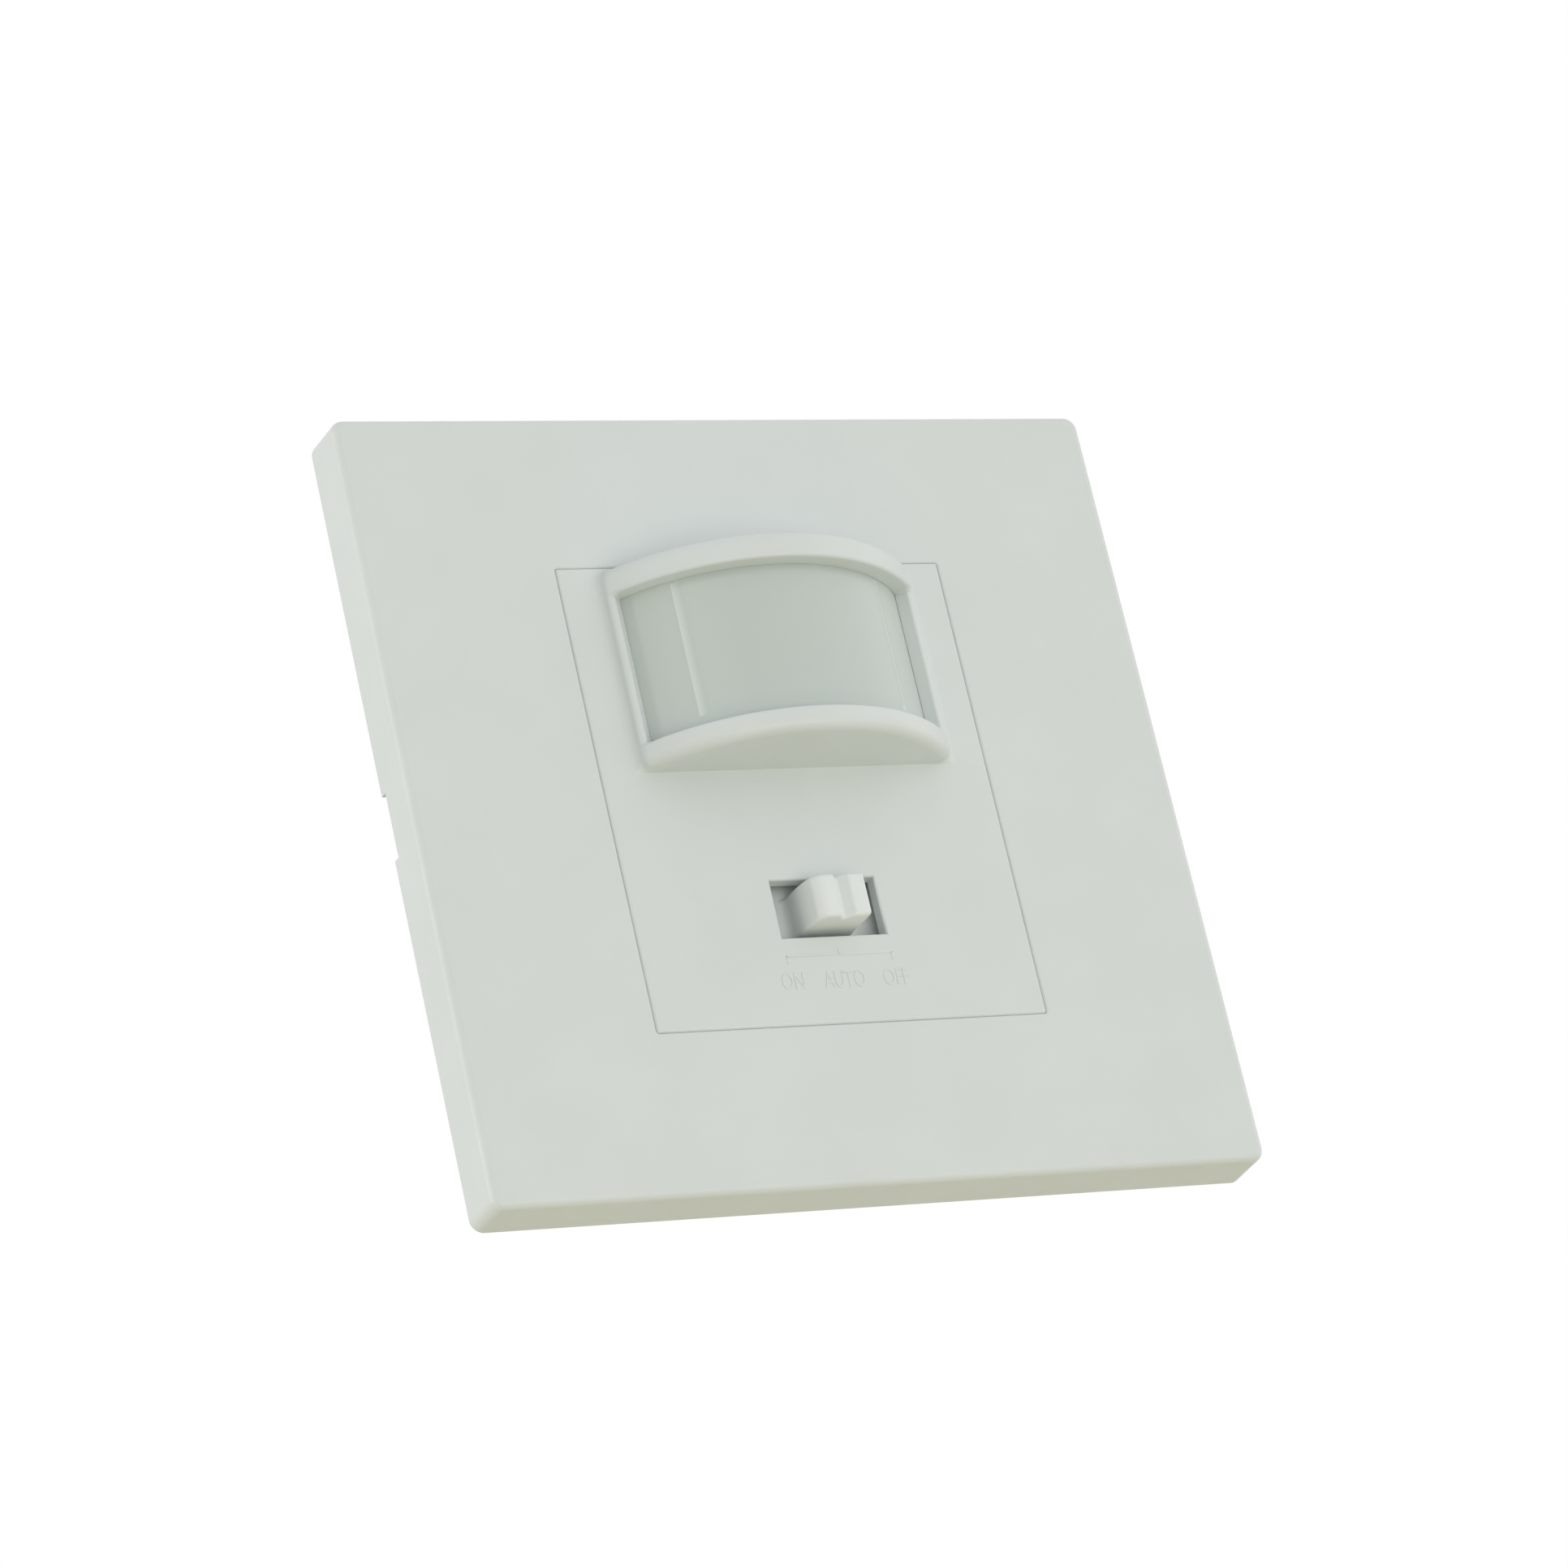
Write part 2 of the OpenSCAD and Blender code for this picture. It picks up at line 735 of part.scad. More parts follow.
module light_cell_leads() {
  color(steel) bench() for (side = [-1, 1])
    rod(cell_x + side * cell_lead_x, cell_y, board_front, board_front + cell_lift, sensor_lead_radius);
}

module control_chip() {
  color(moulded_black) bench() translate([0, chip_y, board_front + seat_gap + chip_sheet / 2])
    cube([chip_width, chip_thick, chip_sheet], center = true);
}

module chip_leads() {
  first = -(chip_lead_count - 1) / 2 * chip_lead_pitch;
  color(steel) bench() for (step = [0 : chip_lead_count - 1], side = [-1, 1])
    translate([first + step * chip_lead_pitch, chip_y + side * (chip_thick + chip_lead_reach) / 2,
      board_front + chip_lead_height / 2])
      cube([chip_lead_width, chip_lead_reach, chip_lead_height], center = true);
}

// Square body of a trimmer with the hole for its spindle
module trimmer_body(x) {
  difference() {
    block([x - trimmer_half, trimmer_y - trimmer_half, board_front],
      [x + trimmer_half, trimmer_y + trimmer_half, trimmer_top]);
    rod(x, trimmer_y, board_front + trimmer_floor, trimmer_top + cut, spindle_radius + running_gap);
  }
}

// Turning part of a trimmer with a slot for a screwdriver
module trimmer_rotor(x) {
  difference() {
    union() {
      rod(x, trimmer_y, rotor_back, rotor_front, rotor_radius);
      rod(x, trimmer_y, spindle_end, rotor_back + rotor_height / 2, spindle_radius);
    }
    block([x - driver_slot_width / 2, trimmer_y - rotor_radius - cut, rotor_front - driver_slot_depth],
      [x + driver_slot_width / 2, trimmer_y + rotor_radius + cut, rotor_front + cut]);
  }
}

module time_trimmer_body() {
  color(relay_blue) bench() trimmer_body(-trimmer_x);
}

module time_trimmer_rotor() {
  color(shell_white) bench() trimmer_rotor(-trimmer_x);
}

module lux_trimmer_body() {
  color(relay_blue) bench() trimmer_body(trimmer_x);
}

module lux_trimmer_rotor() {
  color(shell_white) bench() trimmer_rotor(trimmer_x);
}

// Children at each pin of the link between the boards
module link_places() {
  for (step = [0 : link_count - 1])
    translate([(step - (link_count - 1) / 2) * link_pitch, link_y, 0]) children();
}

module link_header() {
  half = link_count * link_pitch / 2;
  hole = link_pin / 2 + running_gap;
  color(moulded_black) bench() difference() {
    block([-half, link_y - link_body / 2, board_back - link_body],
      [half, link_y + link_body / 2, board_back]);
    link_places() block([-hole, -hole, board_back - link_body - cut], [hole, hole, board_back + cut]);
  }
}

module link_pins() {
  color(brass) bench() link_places()
    block([-link_pin / 2, -link_pin / 2, power_front], [link_pin / 2, link_pin / 2, board_back]);
}

module power_board() {
  color(board_green) bench() difference() {
    union() {
      block([-power_width / 2, -power_top, power_back], [power_width / 2, power_top, power_front]);
      block([-notch_half, tongue_low, power_back], [notch_half, 0, power_front]);
    }
    both_sides(power_post_x, power_post_levels)
      rod(0, 0, power_back - cut, power_front + cut, small_screw_radius + seat_gap);
  }
}

module power_board_screws() {
  length = board_sheet + power_screw_grip;
  color(steel) bench() both_sides(power_post_x, power_post_levels)
    translate([0, 0, power_front])
      slotted_screw(small_screw_radius, length, small_head_radius, small_head_height);
}

module relay_case() {
  color(relay_blue) bench() block([relay_left, relay_low, power_back - relay_height],
    [relay_left + relay_width, relay_low + relay_length, power_back - relay_foot]);
}

module relay_base() {
  color(moulded_black) bench() block([relay_left, relay_low, power_back - relay_foot],
    [relay_left + relay_width, relay_low + relay_length, power_back]);
}

module film_capacitor() {
  color(capacitor_yellow) bench() block([film_left, relay_low, power_back - film_height],
    [film_left + film_width, relay_low + relay_length, power_back]);
}

module filter_capacitor() {
  tip = power_back - filter_height;
  color(moulded_black) bench() difference() {
    rod(filter_x, filter_y, tip, power_back, filter_radius);
    for (turn = vent_turns)
      translate([filter_x, filter_y, tip]) rotate([0, 0, turn])
        cube([filter_radius, vent_groove, vent_groove], center = true);
  }
}

module varistor() {
  color(relay_blue) bench()
    translate([varistor_x - varistor_sheet / 2, row_y, varistor_z])
      rotate([0, 90, 0]) cylinder(h = varistor_sheet, r = varistor_radius, $fn = round_n);
}

module varistor_leads() {
  dip = varistor_radius - sqrt(varistor_radius * varistor_radius - varistor_lead_y * varistor_lead_y);
  color(steel) bench() difference() {
    for (side = [-1, 1])
      rod(varistor_x, row_y + side * varistor_lead_y, varistor_z + varistor_radius - dip - lead_radius,
        power_back, lead_radius);
    translate([varistor_x - varistor_sheet, row_y, varistor_z])
      rotate([0, 90, 0]) cylinder(h = 2 * varistor_sheet, r = varistor_radius, $fn = round_n);
  }
}

module fuse() {
  color(moulded_black) bench() rod(fuse_x, row_y, power_back - fuse_height, power_back, fuse_radius);
}

module rectifier_diodes() {
  color(moulded_black) bench() for (step = [0 : diode_count - 1])
    translate([diode_left + step * diode_pitch, row_y + diode_length / 2, power_back - diode_radius])
      rotate([90, 0, 0]) {
        cylinder(h = diode_length, r = diode_radius, $fn = round_n);
        translate([0, 0, -diode_lead_length])
          cylinder(h = diode_length + 2 * diode_lead_length, r = lead_radius, $fn = round_n);
      }
}

// Children at each wire terminal
module pole_places() {
  for (step = [0 : pole_count - 1])
    translate([(step - (pole_count - 1) / 2) * terminal_pitch, 0, 0]) children();
}

// Way in for a wire, from below
module wire_way(low, high, radius) {
  translate([0, high, wire_z]) rotate([90, 0, 0]) cylinder(h = high - low, r = radius, $fn = round_n);
}

module terminal_block() {
  half_width = clamp_width / 2 + running_gap;
  half_length = clamp_length / 2 + running_gap;
  color(moulded_black) bench() pole_places() difference() {
    block([-pole_width / 2, pole_low, pole_end], [pole_width / 2, pole_high, power_back]);
    block([-half_width, clamp_y - half_length, pole_end - cut],
      [half_width, clamp_y + half_length, clamp_front]);
    wire_way(pole_low - cut, clamp_y, wire_radius);
  }
}

module terminal_clamps() {
  color(brass) bench() pole_places() difference() {
    block([-clamp_width / 2, clamp_y - clamp_length / 2, clamp_end],
      [clamp_width / 2, clamp_y + clamp_length / 2, clamp_front]);
    wire_way(clamp_y - clamp_length, clamp_y + clamp_length, wire_radius);
    rod(0, clamp_y, clamp_end - cut, wire_z, terminal_screw_radius + running_gap);
  }
}

module terminal_screws() {
  reach = wire_z - wire_radius - seat_gap - terminal_head_z;
  color(steel) bench() pole_places() translate([0, clamp_y, terminal_head_z]) mirror([0, 0, 1])
    slotted_screw(terminal_screw_radius, reach, terminal_head_radius, terminal_head_height);
}

// Wedges that break the upper and lower back edges of the housing
module housing_trim() {
  half_height = housing_height / 2;
  along_x(-housing_width / 2 - cut, housing_width / 2 + cut)
    for (level = [-1, 1]) polygon([
      [level * (half_height - housing_chamfer - cut), housing_end - cut],
      [level * (half_height + cut), housing_end - cut],
      [level * (half_height + cut), housing_end + housing_chamfer + cut]
    ]);
}

module rear_housing() {
  half_height = housing_height / 2;
  color(shell_white) bench() difference() {
    union() {
      difference() {
        translate([0, 0, housing_end]) linear_extrude(height = -housing_end)
          soft_rectangle(housing_width, housing_height, housing_corner);
        block([-housing_inner_width / 2, -housing_inner_height / 2, housing_floor],
          [housing_inner_width / 2, housing_inner_height / 2, cut]);
      }
      four_corners(case_screw_x, case_screw_y)
        rod(0, 0, housing_floor - housing_wall / 2, 0, column_radius);
      both_sides(power_post_x, power_post_levels)
        rod(0, 0, housing_floor - housing_wall / 2, power_back, power_post_radius);
      block([-notch_half - notch_wall, -half_height, housing_end],
        [notch_half + notch_wall, notch_top + notch_wall, notch_front]);
    }
    housing_trim();
    block([-notch_half, -half_height - cut, housing_end - cut],
      [notch_half, notch_top, power_back + seat_gap]);
    four_corners(case_screw_x, case_screw_y)
      rod(0, 0, -case_screw_length, cut, case_screw_radius + running_gap);
    both_sides(power_post_x, power_post_levels)
      rod(0, 0, power_back - power_screw_grip - cut, power_back + cut, small_screw_radius + running_gap);
  }
}

face_plate();
front_panel();
fresnel_lens();
lens_frame();
selector_knob();
mounting_yoke();
case_screws();
control_board();
board_screws();
pir_can();
pir_window();
pir_spacer();
pir_leads();
light_cell();
light_cell_leads();
switch_shell();
switch_base();
switch_stem();
control_chip();
chip_leads();
time_trimmer_body();
time_trimmer_rotor();
lux_trimmer_body();
lux_trimmer_rotor();
link_header();
link_pins();
power_board();
power_board_screws();
relay_case();
relay_base();
film_capacitor();
filter_capacitor();
varistor();
varistor_leads();
fuse();
rectifier_diodes();
terminal_block();
terminal_clamps();
terminal_screws();
rear_housing();
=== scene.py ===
"""Looks of a motion sensor light switch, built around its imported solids.

The face plate, the front panel with its sensor hood, the lens, the selector's knob and the
legend are modelled here, and every other piece keeps its solid and gets a finish.
"""

import json
import math
from functools import partial

import bmesh
import bpy
from bpy.props import FloatProperty, FloatVectorProperty, PointerProperty, StringProperty
from mathutils import Matrix, Vector


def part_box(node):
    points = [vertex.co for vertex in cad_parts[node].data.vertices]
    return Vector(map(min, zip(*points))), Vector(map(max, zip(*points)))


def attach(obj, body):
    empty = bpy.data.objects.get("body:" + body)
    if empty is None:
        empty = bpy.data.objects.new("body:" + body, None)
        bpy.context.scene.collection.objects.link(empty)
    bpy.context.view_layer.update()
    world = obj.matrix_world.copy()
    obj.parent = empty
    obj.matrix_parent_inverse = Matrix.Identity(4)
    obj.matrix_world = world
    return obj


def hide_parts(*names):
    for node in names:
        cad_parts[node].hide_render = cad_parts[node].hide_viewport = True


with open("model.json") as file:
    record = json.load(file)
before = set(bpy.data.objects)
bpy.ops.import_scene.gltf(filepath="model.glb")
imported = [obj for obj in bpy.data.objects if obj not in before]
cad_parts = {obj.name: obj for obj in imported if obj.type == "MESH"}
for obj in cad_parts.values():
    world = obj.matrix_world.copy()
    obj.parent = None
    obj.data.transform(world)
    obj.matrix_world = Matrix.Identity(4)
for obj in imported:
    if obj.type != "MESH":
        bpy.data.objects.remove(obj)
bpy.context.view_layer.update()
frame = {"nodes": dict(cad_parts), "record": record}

bl_info = {
    "name": "Motion sensor light switch",
    "version": (1, 0, 0),
    "blender": (4, 5, 0),
    "location": "3D View > Sidebar > Switch",
    "description": "Face plate, sensor hood, lens, selector and works of a wall switch",
    "category": "Object",
}

# Lengths in metres and turns
MM = 0.001
TOUCH = 0.02 * MM
HAIR = 0.001 * MM
ON_BARREL = 3 * TOUCH
RING_STEP = 5 * MM
QUARTER_TURN = math.radians(90)
SHARP_TURN = math.radians(32)
FLAT_TURN = math.radians(0.5)

# Slanted direction that ranks edges by their place
RANKING = (1.0, 0.618, 0.382)

# Steps of the curves
CORNER_STEPS = 8
CIRCLE_STEPS = 36
POST_STEPS = 32
FILLET_STEPS = 6
HOOD_STEPS = 5
SEAM_STEPS = 4
BREAK_STEPS = 2
END_STEPS = 5
BARREL_STEPS = 52
LENS_SIDE_STEPS = 14
LENS_PAD_STEPS = 40
FLOOR_STEPS = 96

# Broken edges of the solids that stay
EDGE_BREAK = 0.2 * MM
EDGE_SHARE = 0.08
FLAT_WEIGHT = 60

# Letters of the legend
LETTER_WIDTH = 0.64
LETTER_SIZE = 1.4
LETTER_WALL = 0.6
LETTER_THIN = 0.2

# Patterns of the finishes
# Painted highlight on the lens: the sloping sides of its raised middle are coloured lighter
# towards their outer edge
PAINTED_RIB_HIGHLIGHT = "rib_highlight"
RIB_HIGHLIGHT_TINT = 1.25
NOISE_LOW = 0.3
NOISE_HIGH = 0.7
WAVES = 20
CLOUD = 9 * MM
SHEEN = 1.6 * MM
SHEEN_SPREAD = 0.05
GRAIN_DEPTH = 0.012 * MM
PLASTIC_SPECULAR = 0.45
LENS_ZONE = 5.6 * MM
LENS_GROOVE = 0.35 * MM
LENS_GROOVE_DEPTH = 0.006 * MM
LENS_SHEEN = 2.5 * MM
LENS_SPECULAR = 0.4
LENS_GLOW = 0.25
LENS_GLOW_RADIUS = (1.0, 1.0, 0.9)
LENS_GLOW_DEPTH = 0.8 * MM
BLOOM = 3.5 * MM
ROLLING = 1.2 * MM
ROLLING_SPREAD = 0.08
ROLLING_DEPTH = 0.01 * MM
TRACK = 6 * MM
TRACK_GAP = 0.05
TRACK_DEPTH = 0.03 * MM
BOARD_SHEEN = 1.5 * MM

# Stage, in metres
FLOOR_RADIUS = 4.0
FLOOR_CLOUD = 0.4
FLOOR_ROUGHNESS = 0.9
FADE_START = 0.4
FADE_END = 0.98
KEY_PLACE = (0.1, -1.15, -0.75)
KEY_SIZE = 1.1
RIM_PLACE = (-1.4, 0.32, 0.15)
RIM_SIZE = 1.0
CAMERA_PLACE = (-0.275054, -0.515835, -0.229086)
CAMERA_RIGHT = (0.8979165, -0.3865598, -0.2105172)
CAMERA_UP = (0.0296025, -0.4241518, 0.9051071)
CAMERA_BACK = (-0.4391693, -0.8189425, -0.3694098)
SENSOR_WIDTH = 36.0
NEAREST = 0.01
FARTHEST = 50.0


def length(name, description, millimetres):
    """A size of the switch, given in millimetres and kept in metres."""
    return FloatProperty(
        name=name, description=description, default=millimetres * MM,
        unit="LENGTH", subtype="DISTANCE", precision=5,
    )


def colour(name, description, red, green, blue):
    """A colour as it shows on a display."""
    return FloatVectorProperty(
        name=name, description=description, default=(red, green, blue),
        size=3, min=0.0, max=1.0, subtype="COLOR_GAMMA",
    )


class SwitchSizes(bpy.types.PropertyGroup):
    """Sizes of the pieces that are modelled here."""

    front: length("Front", "Depth of the plate's front before the wall", -6.2)
    plate_half: length("Plate half", "Half the plate's width at the wall", 43)
    plate_draft: length("Plate draft", "How far the plate's sides lean in", 0.16)
    plate_corner: length("Plate corner", "Radius of the plate's corners", 1.4)
    plate_round: length("Plate round", "Rounding of the plate's front edge", 0.8)
    plate_skin: length("Plate skin", "Thickness of the plate's front", 1.5)
    plate_wall: length("Plate wall", "Thickness of the plate's sides", 2)
    plate_break: length("Plate break", "Softening of the plate's other edges", 0.15)
    notch_half: length("Notch half", "Half the length of the pry notch", 3.5)
    notch_height: length("Notch height", "Height of the pry notch", 1.1)
    post_place: length("Post place", "Distance of the plate's posts from its middle", 36)
    post_radius: length("Post radius", "Radius of the plate's posts", 1.5)
    post_end: length("Post end", "How far the posts stay before the wall", 0.2)

    panel_half_width: length("Panel half width", "Half the panel's width", 21.78)
    panel_half_height: length("Panel half height", "Half the panel's height", 25.58)
    panel_gap: length("Panel gap", "Gap between the panel and the plate", 0.01)
    panel_skin: length("Panel skin", "Thickness of the panel's front", 1.6)
    panel_back: length("Panel back", "Depth of the skirt's back edge", -1.5)
    seam_round: length("Seam round", "Rounding on both sides of the panel's seam", 0.28)
    slot_half_width: length("Slot half width", "Half the selector slot's width", 5.85)
    slot_half_height: length("Slot half height", "Half the selector slot's height", 3.15)
    slot_level: length("Slot level", "Height of the selector slot's middle", -12.9)
    slot_round: length("Slot round", "Softening of the slot's edge", 0.25)
    tab_x: length("Tab x", "Sideways place of the panel's tabs", 16.15)
    tab_level: length("Tab level", "Height of the panel's tabs", 28.45)
    tab_half_width: length("Tab half width", "Half the width of a tab", 4)
    tab_half_height: length("Tab half height", "Half the height of a tab", 3.45)
    tab_sheet: length("Tab sheet", "Thickness of a tab", 1)
    tab_corner: length("Tab corner", "Radius of a tab's corners", 0.4)
    tab_hole: length("Tab hole", "Radius of a tab's hole", 1.4)
    peg_x: length("Peg x", "Sideways place of the pegs for the board", 17.15)
    peg_low: length("Low peg", "Height of the lower pegs", -21)
    peg_high: length("High peg", "Height of the upper pegs", -3.5)
    peg_radius: length("Peg radius", "Radius of the pegs", 2.2)
    peg_hole: length("Peg hole", "Radius of the holes in the pegs", 1)
    peg_end: length("Peg end", "Depth of the pegs' ends behind the wall surface", 7)

    hood_half_width: length("Hood half width", "Half the hood's width", 17.35)
    hood_base: length("Hood base", "Height of the hood's lower end", 2.5)
    hood_top: length("Hood top", "Height of the hood's upper end", 24.7)
    hood_rise: length("Hood rise", "How far the hood's crest stands out", 10)
    hood_side: length("Hood side", "How far the hood's sides stand out", 1.5)
    hood_wall: length("Hood wall", "Thickness of the hood's barrel", 1.9)
    hood_round: length("Hood round", "Rounding of the hood's ends", 1.1)
    hood_foot: length("Hood foot", "Fillet along the foot of the hood's sides", 0.95)
    hood_crease: length("Hood crease", "Fillet along the foot of the hood's ends", 0.08)
    shoulder_round: length("Shoulder round", "Rounding of the hood's shoulders", 0.5)
    window_half: length("Window half", "Half the lens window's width between its rails", 16.5)
    window_foot: length("Window foot", "Half the window's width at the lens", 15.7)
    window_low: length("Window low", "Height of the lens window's lower edge", 5)
    window_high: length("Window high", "Height of the lens window's upper edge", 21.7)
    window_round: length("Window round", "Rounding of the lens window's edge", 0.35)
    rail_dip: length("Rail dip", "How far the window's side rails lie under the barrel", 0.98)
    rail_ramp: length("Rail ramp", "Length over which a rail sinks", 0.25)

    lens_gap: length("Lens gap", "Gap between the hood and the lens", 0.03)
    lens_sheet: length("Lens sheet", "Thickness of the lens", 1)
    lens_low: length("Lens low", "Height of the lens's lower edge", 4)
    lens_high: length("Lens high", "Height of the lens's upper edge", 23.2)
    lens_reach: length("Lens reach", "Half the lens's width over its feet", 19.25)
    pad_half: length("Pad half", "Half the width of the lens's raised middle", 11.65)
    pad_low: length("Pad low", "Height of the raised middle's lower edge", 6.6)
    pad_high: length("Pad high", "Height of the raised middle's upper edge", 21.4)
    pad_slope: length("Pad slope", "Width of the raised middle's sloping edge", 0.75)
    pad_rise: length("Pad rise", "Height of the raised middle", 0.3)

    knob_left: length("Knob left", "Left side of the knob", -3.15)
    knob_lean: length("Knob lean", "How far the left ridge leans in to its top", 0.65)
    knob_right: length("Knob right", "Right side of the knob", 3.1)
    knob_tip: length("Knob tip", "Depth of the knob's top", -9.4)
    knob_half: length("Knob half", "Half the knob's height", 2.35)
    knob_brow: length("Knob brow", "Rounding of the left ridge's left edge", 1.1)
    knob_round: length("Knob round", "Rounding of the knob's top edges", 0.4)
    knob_fillet: length("Knob fillet", "Fillet at the knob's left foot", 0.9)
    knob_shoulder: length("Knob shoulder", "Rounding where the left side starts to lean", 1.2)
    knob_end: length("Knob end", "Rounding of the knob's upper and lower edges", 0.45)
    knob_break: length("Knob break", "Softening of the flange's edges", 0.16)
    groove_middle: length("Groove middle", "Place of the finger groove", 0.475)
    groove_shift: length("Groove shift", "How far the groove's floor lies left of its middle", 0.3)
    groove_half: length("Groove half", "Half the finger groove's width", 0.85)
    groove_depth: length("Groove depth", "Depth of the finger groove", 1)
    groove_round: length("Groove round", "Rounding of the groove's floor", 0.35)
    flange_half_width: length("Flange half width", "Half the knob flange's width", 8.75)
    flange_half_height: length("Flange half height", "Half the knob flange's height", 4.15)
    flange_front: length("Flange front", "Depth of the flange's front", -3.0)
    flange_back: length("Flange back", "Depth of the flange's back", -1.5)

    letter_height: length("Letter height", "Height of the legend's letters", 1.85)
    letter_level: length("Letter level", "Height of the legend's middle", -20.9)
    letter_rise: length("Letter rise", "How far the legend stands out", 0.06)
    letter_step: length("Letter step", "Distance between the legend's words", 5.75)
    line_level: length("Line level", "Height of the legend's line", -18.1)
    line_half: length("Line half", "Half the length of the legend's line", 5.85)
    line_width: length("Line width", "Width of the legend's line", 0.22)
    line_drop: length("Line drop", "Length of the ticks at the line's ends", 0.8)
    line_lift: length("Line lift", "Length of the tick at the line's middle", 0.7)


class SwitchColours(bpy.types.PropertyGroup):
    """Colours of the finishes."""

    shell: colour("Shell", "Plate and panel", 0.836, 0.86, 0.855)
    # The knob's tone is set lighter than the shell's: painted light that lifts the shade on the
    # knob and its flange down in the slot
    knob: colour("Knob", "Selector's knob", 0.885, 0.905, 0.90)
    housing: colour("Housing", "Box behind the wall", 0.82, 0.83, 0.81)
    lens: colour("Lens", "Milky lens sheet", 0.77, 0.802, 0.785)
    black: colour("Black", "Dark moulded pieces", 0.08, 0.08, 0.085)
    terminal: colour("Terminal", "Wire terminals", 0.13, 0.135, 0.145)
    steel: colour("Steel", "Plated steel", 0.70, 0.71, 0.72)
    tin: colour("Tin", "Tinned wire", 0.77, 0.77, 0.76)
    brass: colour("Brass", "Clamps and pins", 0.78, 0.60, 0.28)
    board: colour("Board", "Circuit boards", 0.06, 0.28, 0.14)
    relay: colour("Relay", "Relay case and other blue pieces", 0.09, 0.24, 0.51)
    film: colour("Film", "Film capacitor", 0.78, 0.58, 0.14)
    cell: colour("Cell", "Light cell", 0.80, 0.62, 0.40)
    rotor: colour("Rotor", "Trimmer rotors", 0.85, 0.84, 0.80)


class SwitchStage(bpy.types.PropertyGroup):
    """Floor, light and camera."""

    floor_level: FloatProperty(
        name="Floor level", description="Height of the floor", default=-0.8,
        unit="LENGTH", subtype="DISTANCE",
    )
    floor: colour("Floor", "Pale floor", 0.82, 0.80, 0.705)
    ambient: FloatProperty(
        name="Ambient", description="Strength of the even light", default=0.775, min=0.0,
    )
    lean: FloatProperty(
        name="Lean", description="How much more light comes from the right than from the left",
        default=0.42, min=0.0, max=1.0,
    )
    key: FloatProperty(
        name="Key", description="Power of the light from in front and below", default=9.0,
        min=0.0, unit="POWER",
    )
    rim: FloatProperty(
        name="Rim", description="Power of the soft light from behind on the left", default=9.0,
        min=0.0, unit="POWER",
    )
    focal: FloatProperty(
        name="Focal length", description="Focal length of the camera", default=141.05, min=1.0,
        unit="CAMERA",
    )


def linear(shown):
    """A display colour as the shader's linear one, with alpha."""
    low = [c / 12.92 if c <= 0.04045 else ((c + 0.055) / 1.055) ** 2.4 for c in shown]
    return (*low, 1.0)


def settings():
    """The sizes, colours and stage of the scene."""
    scene = bpy.context.scene
    return scene.switch_sizes, scene.switch_colours, scene.switch_stage


# Finishes

def new_finish(name):
    """An empty finish with its shader and the object's own coordinates."""
    material = bpy.data.materials.new(name)
    material.use_nodes = True
    tree = material.node_tree
    place = tree.nodes.new("ShaderNodeTexCoord").outputs["Object"]
    return material, tree, tree.nodes["Principled BSDF"], place


def speckle(tree, place, size, detail=2.0):
    """Noise whose grains are about one size across."""
    node = tree.nodes.new("ShaderNodeTexNoise")
    node.inputs["Scale"].default_value = 1.0 / size
    node.inputs["Detail"].default_value = detail
    tree.links.new(place, node.inputs["Vector"])
    return node.outputs["Fac"]


def spread(tree, value, low, high):
    """Noise brought to a range."""
    node = tree.nodes.new("ShaderNodeMapRange")
    node.inputs["From Min"].default_value = NOISE_LOW
    node.inputs["From Max"].default_value = NOISE_HIGH
    node.inputs["To Min"].default_value = low
    node.inputs["To Max"].default_value = high
    tree.links.new(value, node.inputs["Value"])
    return node.outputs["Result"]


def two_tones(tree, value, first, second):
    """Noise turned into a colour between two tones."""
    node = tree.nodes.new("ShaderNodeValToRGB")
    places = (NOISE_LOW, NOISE_HIGH)
    for stop, position, tone in zip(node.color_ramp.elements, places, (first, second)):
        stop.position = position
        stop.color = tone
    tree.links.new(value, node.inputs["Fac"])
    return node.outputs["Color"]


def relief(tree, shader, height, depth, strength):
    """Fine relief on a finish."""
    node = tree.nodes.new("ShaderNodeBump")
    node.inputs["Distance"].default_value = depth
    node.inputs["Strength"].default_value = strength
    tree.links.new(height, node.inputs["Height"])
    tree.links.new(node.outputs["Normal"], shader.inputs["Normal"])


def tinted(tone, factor):
    """A linear colour made lighter or darker."""
    return (*[min(1.0, c * factor) for c in tone[:3]], 1.0)


def moulded(name, shown, roughness, grain=0.22, strength=0.25, mottle=0.015):
    """Moulded plastic: faint cloudiness, an uneven sheen and a fine eroded grain."""
    material, tree, shader, place = new_finish(name)
    tone = linear(shown)
    cloud = speckle(tree, place, CLOUD, 3.0)
    tree.links.new(
        two_tones(tree, cloud, tinted(tone, 1 - mottle), tinted(tone, 1 + mottle)),
        shader.inputs["Base Color"],
    )
    sheen = speckle(tree, place, SHEEN)
    tree.links.new(
        spread(tree, sheen, roughness - SHEEN_SPREAD, roughness + SHEEN_SPREAD),
        shader.inputs["Roughness"],
    )
    shader.inputs["Specular IOR Level"].default_value = PLASTIC_SPECULAR
    relief(tree, shader, speckle(tree, place, grain * MM), GRAIN_DEPTH, strength)
    return material


def stripes(tree, place, width):
    """Upright waves, each about one width across."""
    node = tree.nodes.new("ShaderNodeTexWave")
    node.bands_direction = "X"
    node.inputs["Scale"].default_value = 1.0 / (WAVES * width)
    tree.links.new(place, node.inputs["Vector"])
    return node


